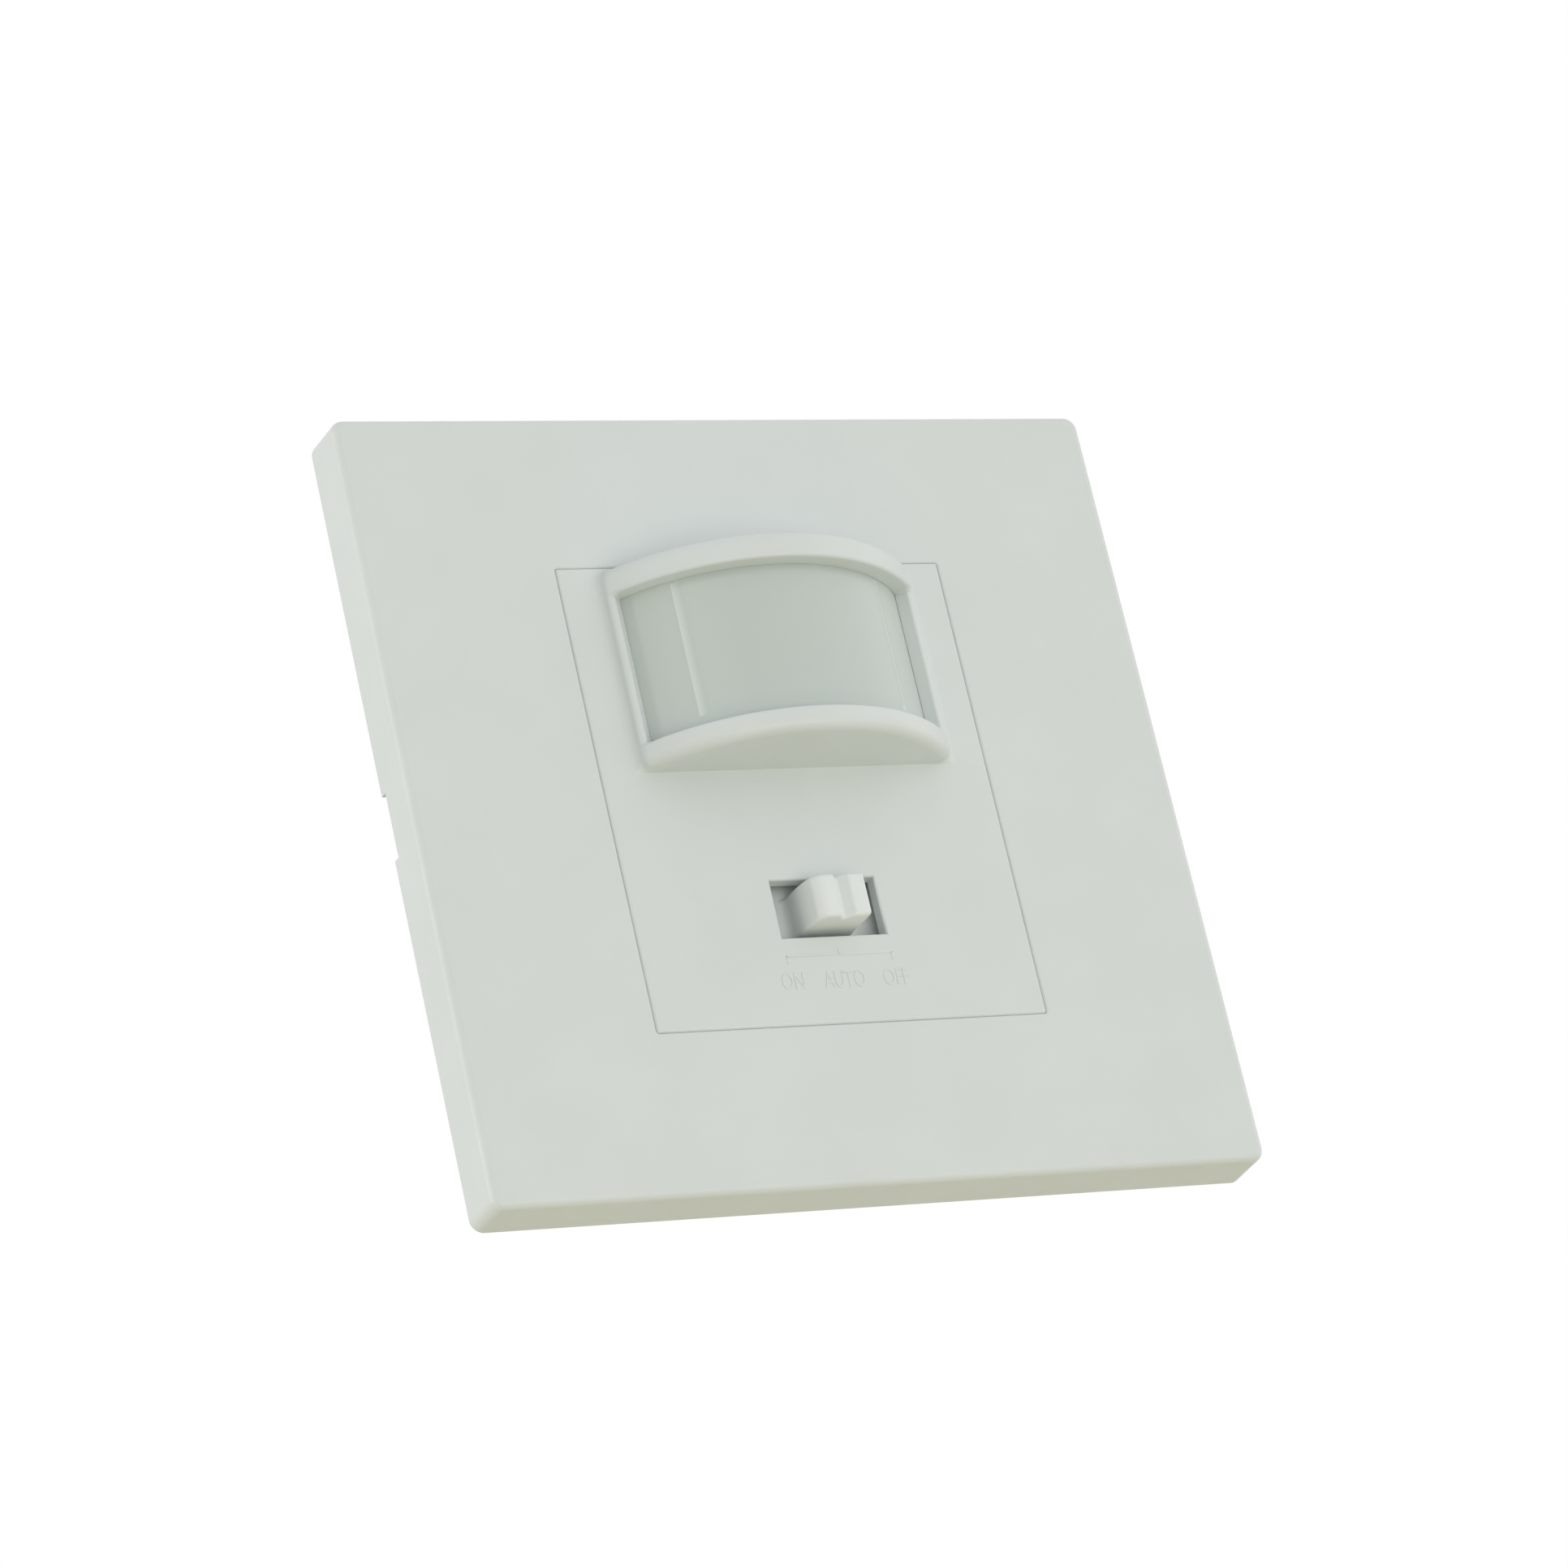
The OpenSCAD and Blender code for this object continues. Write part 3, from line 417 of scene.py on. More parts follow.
def milky(name, shown):
    """Milky lens sheet: light goes into it, its zones stand as faint upright bands, and the
    sloping sides of its raised middle get a painted highlight.
    """
    material, tree, shader, place = new_finish(name)
    tone = linear(shown)
    bands = stripes(tree, place, LENS_ZONE)
    bands.inputs["Distortion"].default_value = 0.6
    bands.inputs["Detail"].default_value = 1.0
    # Painted highlight: a lighter colour on the raised middle's sloping sides, by the mask that
    # the lens carries
    ribs = tree.nodes.new("ShaderNodeAttribute")
    ribs.attribute_name = PAINTED_RIB_HIGHLIGHT
    highlighted = tree.nodes.new("ShaderNodeMix")
    highlighted.data_type = "RGBA"
    highlighted.inputs[7].default_value = tinted(tone, RIB_HIGHLIGHT_TINT)
    tree.links.new(ribs.outputs["Fac"], highlighted.inputs[0])
    tree.links.new(
        two_tones(tree, bands.outputs["Fac"], tinted(tone, 0.97), tinted(tone, 1.02)),
        highlighted.inputs[6],
    )
    tree.links.new(highlighted.outputs[2], shader.inputs["Base Color"])
    sheen = speckle(tree, place, LENS_SHEEN)
    tree.links.new(spread(tree, sheen, 0.30, 0.38), shader.inputs["Roughness"])
    shader.inputs["Specular IOR Level"].default_value = LENS_SPECULAR
    shader.inputs["Subsurface Weight"].default_value = LENS_GLOW
    shader.inputs["Subsurface Radius"].default_value = LENS_GLOW_RADIUS
    shader.inputs["Subsurface Scale"].default_value = LENS_GLOW_DEPTH
    grooves = stripes(tree, place, LENS_GROOVE)
    relief(tree, shader, grooves.outputs["Fac"], LENS_GROOVE_DEPTH, 0.12)
    return material


def plated(name, shown, roughness, streak=6.0):
    """Plated metal: a crystalline bloom in the sheen and faint rolling streaks."""
    material, tree, shader, place = new_finish(name)
    tone = linear(shown)
    shader.inputs["Metallic"].default_value = 1.0
    bloom = speckle(tree, place, BLOOM, 4.0)
    tree.links.new(
        two_tones(tree, bloom, tinted(tone, 0.88), tinted(tone, 1.08)),
        shader.inputs["Base Color"],
    )
    stretch = tree.nodes.new("ShaderNodeMapping")
    stretch.inputs["Scale"].default_value = (1.0, streak, streak)
    tree.links.new(place, stretch.inputs["Vector"])
    lines = speckle(tree, stretch.outputs["Vector"], ROLLING, 3.0)
    tree.links.new(
        spread(tree, lines, roughness - ROLLING_SPREAD, roughness + ROLLING_SPREAD),
        shader.inputs["Roughness"],
    )
    relief(tree, shader, lines, ROLLING_DEPTH, 0.2)
    return material


def masked_board(name, shown):
    """Circuit board: tracks under green mask, a little proud of the rest."""
    material, tree, shader, place = new_finish(name)
    tone = linear(shown)
    turn = tree.nodes.new("ShaderNodeMapping")
    turn.inputs["Rotation"].default_value = (QUARTER_TURN, 0.0, 0.0)
    tree.links.new(place, turn.inputs["Vector"])
    tracks = tree.nodes.new("ShaderNodeTexBrick")
    tracks.inputs["Scale"].default_value = 1.0 / TRACK
    tracks.inputs["Mortar Size"].default_value = TRACK_GAP
    tracks.inputs["Color1"].default_value = tone
    tracks.inputs["Color2"].default_value = tinted(tone, 1.15)
    tracks.inputs["Mortar"].default_value = tinted(tone, 1.7)
    tree.links.new(turn.outputs["Vector"], tracks.inputs["Vector"])
    tree.links.new(tracks.outputs["Color"], shader.inputs["Base Color"])
    sheen = speckle(tree, place, BOARD_SHEEN)
    tree.links.new(spread(tree, sheen, 0.28, 0.42), shader.inputs["Roughness"])
    relief(tree, shader, tracks.outputs["Fac"], TRACK_DEPTH, 0.5)
    return material


def finishes():
    """Every finish of the switch by the name of its slot, made once."""
    _, tones, _ = settings()
    makers = {
        "plate_white": lambda n: moulded(n, tones.shell, 0.42),
        "panel_white": lambda n: moulded(n, tones.shell, 0.40),
        # The knob's lighter tone is painted light that lifts the shade on it in the slot
        "knob_white": lambda n: moulded(n, tones.knob, 0.38),
        "housing_white": lambda n: moulded(n, tones.housing, 0.52, grain=0.3, strength=0.35),
        "rotor_white": lambda n: moulded(n, tones.rotor, 0.45),
        "lens_milky": lambda n: milky(n, tones.lens),
        "frame_black": lambda n: moulded(n, tones.black, 0.5, mottle=0.08),
        "chip_black": lambda n: moulded(n, tones.black, 0.6, mottle=0.12, grain=0.12),
        "sleeve_black": lambda n: moulded(n, tones.black, 0.35, mottle=0.06),
        "terminal_black": lambda n: moulded(n, tones.terminal, 0.5, mottle=0.08),
        "eye_dark": lambda n: moulded(n, tones.black, 0.12, mottle=0.05, strength=0.05),
        "relay_blue": lambda n: moulded(n, tones.relay, 0.3, mottle=0.05),
        "trimmer_blue": lambda n: moulded(n, tones.relay, 0.42, mottle=0.05),
        "varistor_blue": lambda n: moulded(n, tones.relay, 0.25, mottle=0.08, grain=0.8),
        "film_yellow": lambda n: moulded(n, tones.film, 0.3, mottle=0.06),
        "cell_ceramic": lambda n: moulded(n, tones.cell, 0.5, mottle=0.1),
        "board_green": lambda n: masked_board(n, tones.board),
        "yoke_steel": lambda n: plated(n, tones.steel, 0.36),
        "screw_steel": lambda n: plated(n, tones.steel, 0.3, streak=2.0),
        "can_steel": lambda n: plated(n, tones.steel, 0.25),
        "lead_tin": lambda n: plated(n, tones.tin, 0.32),
        "contact_brass": lambda n: plated(n, tones.brass, 0.3),
    }
    made = {}
    for slot, maker in makers.items():
        name = f"{slot}_finish"
        made[slot] = bpy.data.materials.get(name) or maker(name)
    return made


# Shaping

def faces_room():
    """Turns a flat shape, drawn upright, to face the room."""
    return Matrix.Rotation(QUARTER_TURN, 4, "X")


def at(x, y, z):
    """A move to one place."""
    return Matrix.Translation((x, y, z))


def edges_of(verts):
    """Every edge at some vertices, once each."""
    return list(dict.fromkeys(edge for vert in verts for edge in vert.link_edges))


def rounded_ring(bm, half_width, half_height, corner, depth, middle=(0.0, 0.0)):
    """Edges of a rectangle with round corners that faces the room at one depth."""
    sheet = bmesh.ops.create_grid(
        bm, x_segments=1, y_segments=1, size=1.0,
        matrix=at(middle[0], depth, middle[1]) @ faces_room()
        @ Matrix.Diagonal((half_width, half_height, 1.0, 1.0)),
    )["verts"]
    ring = bmesh.ops.bevel(
        bm, geom=sheet, affect="VERTICES", offset=corner, offset_type="OFFSET",
        segments=CORNER_STEPS, profile=0.5, material=-1,
    )["verts"]
    edges = edges_of(ring)
    bmesh.ops.delete(bm, geom=[ring[0].link_faces[0]], context="FACES_ONLY")
    return edges


def round_ring(bm, x, z, radius, depth):
    """Edges of a circle that faces the room at one depth."""
    made = bmesh.ops.create_circle(
        bm, cap_ends=False, radius=radius, segments=CIRCLE_STEPS,
        matrix=at(x, depth, z) @ faces_room(),
    )["verts"]
    return edges_of(made)


def joined_rings(bm, rings):
    """Joins rings one to the next and round to the first: each is a way to draw it and a depth.

    They are drawn well apart, so that each joins the next without a twist, and then pushed home.
    """
    loops = [draw(depth=number * RING_STEP) for number, (draw, _) in enumerate(rings)]
    for first, second in zip(loops, loops[1:] + loops[:1]):
        bmesh.ops.bridge_loops(bm, edges=first + second)
    for number, (loop, (_, depth)) in enumerate(zip(loops, rings)):
        verts = list(dict.fromkeys(vert for edge in loop for vert in edge.verts))
        bmesh.ops.translate(bm, verts=verts, vec=(0.0, depth - number * RING_STEP, 0.0))


def tube(bm, x, z, near, far, outer, inner):
    """A pipe that runs into the wall, from its near end to its far one."""
    joined_rings(bm, [
        (partial(round_ring, bm, x, z, radius), depth)
        for depth, radius in ((near, outer), (far, outer), (far, inner), (near, inner))
    ])


def soften(bm, edges, width, segments, clamped=True):
    """Rounds a set of edges."""
    bmesh.ops.bevel(
        bm, geom=list(edges), affect="EDGES", offset=width, offset_type="OFFSET",
        segments=segments, profile=0.5, material=-1, clamp_overlap=clamped,
    )


def bar(bm, outline, low, high, end):
    """An upright bar from low to high with round ends: its outline is x, depth and fillet."""
    verts = [bm.verts.new((x, y, low)) for x, y, _ in outline]
    bm.faces.new(verts)
    for vert, (_, _, fillet) in zip(verts, outline):
        if fillet:
            bmesh.ops.bevel(
                bm, geom=[vert], affect="VERTICES", offset=fillet, offset_type="OFFSET",
                segments=FILLET_STEPS, profile=0.5, material=-1,
            )
    section = [face for face in bm.faces if not any(edge.is_manifold for edge in face.edges)]
    left, right = min(x for x, _, _ in outline), max(x for x, _, _ in outline)
    foot, tip = max(y for _, y, _ in outline), min(y for _, y, _ in outline)
    pivot = at(-(left + right) / 2, -foot, 0.0)
    turns = [QUARTER_TURN * step / END_STEPS for step in range(END_STEPS + 1)]
    rings = [(low + end * (1 - math.cos(turn)), end * (1 - math.sin(turn))) for turn in turns]
    rings += [(high + low - level, inset) for level, inset in reversed(rings)]
    level, scale = low, (1.0, 1.0)
    for number, (next_level, inset) in enumerate(rings):
        next_scale = (1 - 2 * inset / (right - left), 1 - inset / (foot - tip))
        if number:
            drawn = bmesh.ops.extrude_face_region(bm, geom=section)["geom"]
            if number > 1:
                bmesh.ops.delete(bm, geom=section, context="FACES_ONLY")
            section = [part for part in drawn if isinstance(part, bmesh.types.BMFace)]
        moved = list(dict.fromkeys(vert for face in section for vert in face.verts))
        growth = [after / before for after, before in zip(next_scale, scale)]
        bmesh.ops.scale(bm, vec=(*growth, 1.0), space=pivot, verts=moved)
        bmesh.ops.translate(bm, verts=moved, vec=(0.0, 0.0, next_level - level))
        level, scale = next_level, next_scale


def slice_at(bm, faces, point, normal):
    """Cuts some faces along a plane and keeps both sides."""
    elements = dict.fromkeys(part for face in faces for part in (face, *face.edges, *face.verts))
    bmesh.ops.bisect_plane(bm, geom=list(elements), dist=HAIR, plane_co=point, plane_no=normal)


def point_outwards(bm):
    """Merges what meets and points every face outwards."""
    bmesh.ops.remove_doubles(bm, verts=bm.verts[:], dist=TOUCH / 2)
    bmesh.ops.recalc_face_normals(bm, faces=bm.faces[:])


def near(first, second, reach=TOUCH):
    """Whether two numbers are the same within a hair."""
    return abs(first - second) < reach


def smooth_and_crease(bm):
    """Smooth faces with a crease wherever the surface turns sharply."""
    bm.normal_update()
    for face in bm.faces:
        face.smooth = True
    for edge in bm.edges:
        edge.smooth = len(edge.link_faces) == 2 and edge.calc_face_angle(0.0) < SHARP_TURN


def finish_piece(bm, name, body, slot, replaced=()):
    """Makes a piece of a mesh, on its body and with its finish."""
    smooth_and_crease(bm)
    mesh = bpy.data.meshes.new(name)
    bm.to_mesh(mesh)
    bm.free()
    mesh.materials.append(finishes()[slot])
    piece = bpy.data.objects.new(name, mesh)
    bpy.context.scene.collection.objects.link(piece)
    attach(piece, body)
    if replaced:
        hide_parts(*replaced)
    return piece


def even_normals(piece):
    """Keeps broad faces flat in the shading next to their fillets."""
    weighted = piece.modifiers.new("even_normals", "WEIGHTED_NORMAL")
    weighted.keep_sharp = True
    weighted.weight = FLAT_WEIGHT


def round_by_weight(piece, widest, segments):
    """Rounds each edge by its own weight, up to the widest fillet."""
    fillet = piece.modifiers.new("fillets", "BEVEL")
    fillet.limit_method = "WEIGHT"
    fillet.width = widest
    fillet.segments = segments
    fillet.profile = 0.5
    fillet.use_clamp_overlap = False
    fillet.loop_slide = True


class SWITCH_OT_face_plate(bpy.types.Operator):
    """Makes the square face plate with its pry notch and its four posts"""

    bl_idname = "switch.face_plate"
    bl_label = "Face plate"

    def execute(self, context):
        s, _, _ = settings()
        bm = bmesh.new()
        roof = s.front + s.plate_skin
        hollow = s.plate_half - s.plate_wall
        outline = s.plate_half - s.plate_draft
        opening = (s.panel_half_width + s.panel_gap, s.panel_half_height + s.panel_gap)
        tight = s.plate_break * 2
        joined_rings(bm, [
            (partial(rounded_ring, bm, s.plate_half, s.plate_half, s.plate_corner), 0.0),
            (partial(rounded_ring, bm, outline, outline, s.plate_corner), s.front),
            (partial(rounded_ring, bm, *opening, s.seam_round), s.front),
            (partial(rounded_ring, bm, *opening, s.seam_round), roof),
            (partial(rounded_ring, bm, hollow, hollow, tight), roof),
            (partial(rounded_ring, bm, hollow, hollow, tight), 0.0),
        ])
        point_outwards(bm)
        self.cut_notch(bm, s, hollow)
        self.round_edges(bm, s, opening)
        reach = -s.post_end - roof + s.plate_skin / 2
        for side in (-1, 1):
            for level in (-1, 1):
                bmesh.ops.create_cone(
                    bm, cap_ends=True, segments=POST_STEPS, depth=reach,
                    radius1=s.post_radius, radius2=s.post_radius,
                    matrix=at(side * s.post_place, -s.post_end - reach / 2, level * s.post_place)
                    @ faces_room(),
                )
        plate = finish_piece(bm, "plate_shell", "plate", "plate_white", ["face_plate"])
        even_normals(plate)
        return {"FINISHED"}

    def cut_notch(self, bm, s, hollow):
        """Opens the notch in the back edge of the left side."""
        def left_wall():
            return [
                face for face in bm.faces
                if face.calc_center_median().x < -hollow + TOUCH and abs(face.normal.y) < 0.5
                or face.calc_center_median().x < -hollow and near(face.calc_center_median().y, 0.0)
            ]

        for level in (-s.notch_half, s.notch_half):
            slice_at(bm, left_wall(), (0.0, 0.0, level), (0.0, 0.0, 1.0))
        slice_at(bm, left_wall(), (0.0, -s.notch_height, 0.0), (0.0, 1.0, 0.0))
        opened = [
            face for face in left_wall()
            if abs(face.calc_center_median().z) < s.notch_half
            and face.calc_center_median().y > -s.notch_height
        ]
        bmesh.ops.delete(bm, geom=opened, context="FACES")
        middle = -hollow - s.plate_wall / 2
        rim = [edge for edge in bm.edges if edge.is_boundary]
        outer = [edge for edge in rim if all(vert.co.x < middle for vert in edge.verts)]
        inner = [edge for edge in rim if all(vert.co.x > middle for vert in edge.verts)]
        bmesh.ops.bridge_loops(bm, edges=outer + inner)
        bmesh.ops.recalc_face_normals(bm, faces=bm.faces[:])

    def round_edges(self, bm, s, opening):
        """Rounds the front edge and softens the opening and the back edge."""
        def at_depth(edge, depth):
            return all(near(vert.co.y, depth) for vert in edge.verts)

        def in_opening(edge):
            return all(
                abs(vert.co.x) < opening[0] + TOUCH and abs(vert.co.z) < opening[1] + TOUCH
                for vert in edge.verts
            )

        def turns(edge):
            return len(edge.link_faces) == 2 and edge.calc_face_angle(0.0) > SHARP_TURN

        fronts = [edge for edge in bm.edges if at_depth(edge, s.front) and turns(edge)]
        rim = [edge for edge in fronts if not in_opening(edge)]
        soften(bm, rim, s.plate_round, FILLET_STEPS)
        fronts = [
            edge for edge in bm.edges
            if at_depth(edge, s.front) and in_opening(edge) and turns(edge)
        ]
        soften(bm, fronts, s.seam_round, SEAM_STEPS)
        backs = [edge for edge in bm.edges if at_depth(edge, 0.0) and turns(edge)]
        soften(bm, backs, s.plate_break, BREAK_STEPS)


class SWITCH_OT_front_panel(bpy.types.Operator):
    """Makes the panel with the sensor hood, the lens window and the selector's slot"""

    bl_idname = "switch.front_panel"
    bl_label = "Front panel"

    def execute(self, context):
        s, _, _ = settings()
        bm = bmesh.new()
        self.side = s.front - s.hood_side
        arch = s.hood_rise - s.hood_side
        self.radius = (s.hood_half_width ** 2 + arch ** 2) / (2 * arch)
        self.axis = s.front - s.hood_rise + self.radius
        self.levels = (
            s.hood_base, s.window_low, s.window_low + s.rail_ramp,
            s.window_high - s.rail_ramp, s.window_high, s.hood_top,
        )
        self.sheet(bm, s)
        self.barrel(bm, s)
        self.skirt(bm, s)
        bmesh.ops.solidify(bm, geom=bm.faces[:], thickness=s.panel_skin)
        self.window(bm, s)
        self.weigh(bm, s)
        self.fixings(bm, s)
        panel = finish_piece(bm, "panel_shell", "module", "panel_white", ["front_panel"])
        round_by_weight(panel, s.hood_round, HOOD_STEPS)
        even_normals(panel)
        return {"FINISHED"}

    def sheet(self, bm, s):
        """Front of the panel with places left for the hood and the slot."""
        bmesh.ops.create_grid(
            bm, x_segments=1, y_segments=1, size=1.0,
            matrix=at(0.0, s.front, 0.0) @ faces_room()
            @ Matrix.Diagonal((s.panel_half_width, s.panel_half_height, 1.0, 1.0)),
        )
        low, high = s.slot_level - s.slot_half_height, s.slot_level + s.slot_half_height
        for x in (s.hood_half_width, s.slot_half_width):
            for side in (-1, 1):
                slice_at(bm, bm.faces[:], (side * x, 0.0, 0.0), (1.0, 0.0, 0.0))
        for z in (low, high, *self.levels):
            slice_at(bm, bm.faces[:], (0.0, 0.0, z), (0.0, 0.0, 1.0))

        def taken(middle):
            hood = abs(middle.x) < s.hood_half_width and s.hood_base < middle.z < s.hood_top
            return hood or abs(middle.x) < s.slot_half_width and low < middle.z < high

        gone = [face for face in bm.faces if taken(face.calc_center_median())]
        bmesh.ops.delete(bm, geom=gone, context="FACES")

    def barrel(self, bm, s):
        """Barrel of the hood, its sides and its two flat ends."""
        chain = [bm.verts.new((-s.hood_half_width, self.side, z)) for z in self.levels]
        last = chain + [bm.edges.new(pair) for pair in zip(chain, chain[1:])]
        whole, opened = (
            math.asin(half / self.radius) for half in (s.hood_half_width, s.window_half)
        )
        side = (whole - opened, 1)
        for angle, steps in (side, (2 * opened, BARREL_STEPS), side):
            last = bmesh.ops.spin(
                bm, geom=last, cent=(0.0, self.axis, 0.0), axis=(0.0, 0.0, 1.0),
                angle=angle, steps=steps,
            )["geom_last"]
        ends = [
            edge for edge in bm.edges
            if all(
                near(abs(vert.co.x), s.hood_half_width) and near(vert.co.y, self.side)
                for vert in edge.verts
            )
        ]
        walls = bmesh.ops.extrude_edge_only(bm, edges=ends)["geom"]
        feet = [part for part in walls if isinstance(part, bmesh.types.BMVert)]
        bmesh.ops.translate(bm, verts=feet, vec=(0.0, s.hood_side, 0.0))
        bmesh.ops.remove_doubles(bm, verts=bm.verts[:], dist=TOUCH / 2)
        # One order of the edges, so that both ends are filled alike in every run
        bm.edges.sort(key=lambda edge: sum(vert.co.dot(RANKING) for vert in edge.verts))
        for z in (s.hood_base, s.hood_top):
            loop = [
                edge for edge in bm.edges
                if edge.is_boundary and all(
                    near(vert.co.z, z) and abs(vert.co.x) < s.hood_half_width + TOUCH
                    for vert in edge.verts
                )
            ]
            bmesh.ops.contextual_create(bm, geom=loop)

    def skirt(self, bm, s):
        """Sides of the panel, back to the yoke."""
        rim = [
            edge for edge in bm.edges
            if edge.is_boundary and (
                all(near(abs(vert.co.x), s.panel_half_width) for vert in edge.verts)
                or all(near(abs(vert.co.z), s.panel_half_height) for vert in edge.verts)
            )
        ]
        walls = bmesh.ops.extrude_edge_only(bm, edges=rim)["geom"]
        feet = [part for part in walls if isinstance(part, bmesh.types.BMVert)]
        bmesh.ops.translate(bm, verts=feet, vec=(0.0, s.panel_back - s.front, 0.0))
        bmesh.ops.recalc_face_normals(bm, faces=bm.faces[:])
        front = max(bm.faces, key=lambda face: face.calc_area() * near(
            face.calc_center_median().y, s.front))
        if front.normal.y > 0:
            bmesh.ops.reverse_faces(bm, faces=bm.faces[:])

    def from_axis(self, point):
        """Distance of a point from the barrel's axis."""
        return math.hypot(point.x, point.y - self.axis)

    def window(self, bm, s):
        """Cuts the lens window through both skins of the barrel and closes its sides."""
        inner = self.radius - s.hood_wall
        self.line_hood(bm, s, inner)

        def in_window(face):
            middle = face.calc_center_median()
            reaches = [self.from_axis(vert.co) for vert in face.verts]
            return s.window_low < middle.z < s.window_high and any(
                abs(middle.x) < half and all(near(reach, radius, ON_BARREL) for reach in reaches)
                for radius, half in ((self.radius, s.window_half), (inner, s.window_foot))
            )

        opened = [face for face in bm.faces if in_window(face)]
        bmesh.ops.delete(bm, geom=opened, context="FACES")
        rims = [edge for edge in bm.edges if edge.is_boundary]
        outer = [
            edge for edge in rims
            if all(near(self.from_axis(vert.co), self.radius, ON_BARREL) for vert in edge.verts)
        ]
        bmesh.ops.bridge_loops(bm, edges=rims)
        bmesh.ops.recalc_face_normals(bm, faces=bm.faces[:])
        soften(bm, outer, s.window_round, HOOD_STEPS, clamped=False)
        self.sink_rails(bm, s)

    def line_hood(self, bm, s, inner):
        """Brings the hood's lining to its own radius, with slopes from the rails to the lens."""
        foot = s.front + s.panel_skin
        widest = math.acos((self.axis - foot) / inner)
        share = math.asin(s.window_foot / inner) / math.asin(s.window_half / self.radius)
        for vert in bm.verts:
            x, y, z = vert.co
            if not (s.hood_base + TOUCH < z < s.hood_top - TOUCH and y < foot + TOUCH):
                continue
            outside = self.from_axis(vert.co) > self.radius - s.panel_skin / 2
            if outside or abs(x) > s.hood_half_width - s.panel_skin / 2:
                continue
            if not near(y, foot):
                turn = math.atan2(x, self.axis - y) * share
            elif abs(x) > s.slot_half_width + TOUCH:
                turn = math.copysign(widest, x)
            else:
                continue
            place = Vector((inner * math.sin(turn), self.axis - inner * math.cos(turn), z))
            bmesh.ops.translate(bm, verts=[vert], vec=place - vert.co)

    def weigh(self, bm, s):
        """Gives each outer edge of the panel and the hood its own fillet."""
        weight = bm.edges.layers.float.new("bevel_weight_edge")
        low, high = s.slot_level - s.slot_half_height, s.slot_level + s.slot_half_height

        def fillet(edge):
            a, b = (vert.co for vert in edge.verts)
            both_front = near(a.y, s.front) and near(b.y, s.front)
            at_side = near(abs(a.x), s.hood_half_width) and near(abs(b.x), s.hood_half_width)
            barrel = all(
                near(self.from_axis(point), self.radius, ON_BARREL) and point.y < s.front - TOUCH
                for point in (a, b)
            )
            low_end = near(a.z, s.hood_base) and near(b.z, s.hood_base)
            high_end = near(a.z, s.hood_top) and near(b.z, s.hood_top)
            in_hood = all(s.hood_base - TOUCH < point.z < s.hood_top + TOUCH for point in (a, b))
            if both_front:
                if at_side and in_hood and near(a.x, b.x):
                    return s.hood_foot
                if (low_end or high_end) and max(abs(a.x), abs(b.x)) < s.hood_half_width + TOUCH:
                    return s.hood_crease
                upright = near(abs(a.x), s.slot_half_width) and near(a.x, b.x)
                level = near(a.z, b.z) and (near(a.z, low) or near(a.z, high))
                inside = all(
                    abs(point.x) < s.slot_half_width + TOUCH
                    and low - TOUCH < point.z < high + TOUCH
                    for point in (a, b)
                )
                if inside and (upright or level):
                    return s.slot_round
                beside = near(abs(a.x), s.panel_half_width) and near(a.x, b.x)
                above = near(abs(a.z), s.panel_half_height) and near(a.z, b.z)
                return s.seam_round if beside or above else 0.0
            corner = all(
                near(abs(point.x), s.panel_half_width) and near(abs(point.z), s.panel_half_height)
                for point in (a, b)
            )
            if corner:
                return s.seam_round
            if at_side and near(a.x, b.x) and min(a.y, b.y) > self.side - TOUCH:
                if low_end or high_end:
                    return s.hood_round if max(a.y, b.y) < s.front + TOUCH else 0.0
                shoulder = near(a.y, self.side) and near(b.y, self.side)
                return s.shoulder_round if shoulder else 0.0
            if not barrel:
                return 0.0
            return s.hood_round if low_end or high_end else 0.0

        for edge in bm.edges:
            edge[weight] = fillet(edge) / s.hood_round

    def sink_rails(self, bm, s):
        """Lowers the window's side rails under the barrel, most along the window."""
        for vert in bm.verts:
            x, _, z = vert.co
            across = (s.hood_half_width - abs(x)) / (s.hood_half_width - s.window_half)
            along = min(z - s.window_low, s.window_high - z) / s.rail_ramp
            outside = self.from_axis(vert.co) > self.radius - s.window_round * 1.5
            beside = s.window_half - s.window_round < abs(x) < s.hood_half_width - TOUCH
            if outside and beside and along > 0.0:
                down = s.rail_dip * min(across, 1.0) * min(along, 1.0)
                bmesh.ops.translate(bm, verts=[vert], vec=(0.0, down, 0.0))

    def fixings(self, bm, s):
        """Tabs for the case screws and pegs for the control board."""
        for side in (-1, 1):
            for level in (-1, 1):
                place = (side * s.tab_x, level * s.tab_level)
                sheet = (s.panel_back - s.tab_sheet, s.panel_back)
                rim = partial(
                    rounded_ring, bm, s.tab_half_width, s.tab_half_height, s.tab_corner,
                    middle=place,
                )
                hole = partial(round_ring, bm, *place, s.tab_hole)
                joined_rings(bm, [(rim, depth) for depth in sheet]
                             + [(hole, depth) for depth in reversed(sheet)])
            for level in (s.peg_low, s.peg_high):
                tube(
                    bm, side * s.peg_x, level, s.front + s.panel_skin / 2, s.peg_end,
                    s.peg_radius, s.peg_hole,
                )
        bmesh.ops.recalc_face_normals(bm, faces=bm.faces[:])


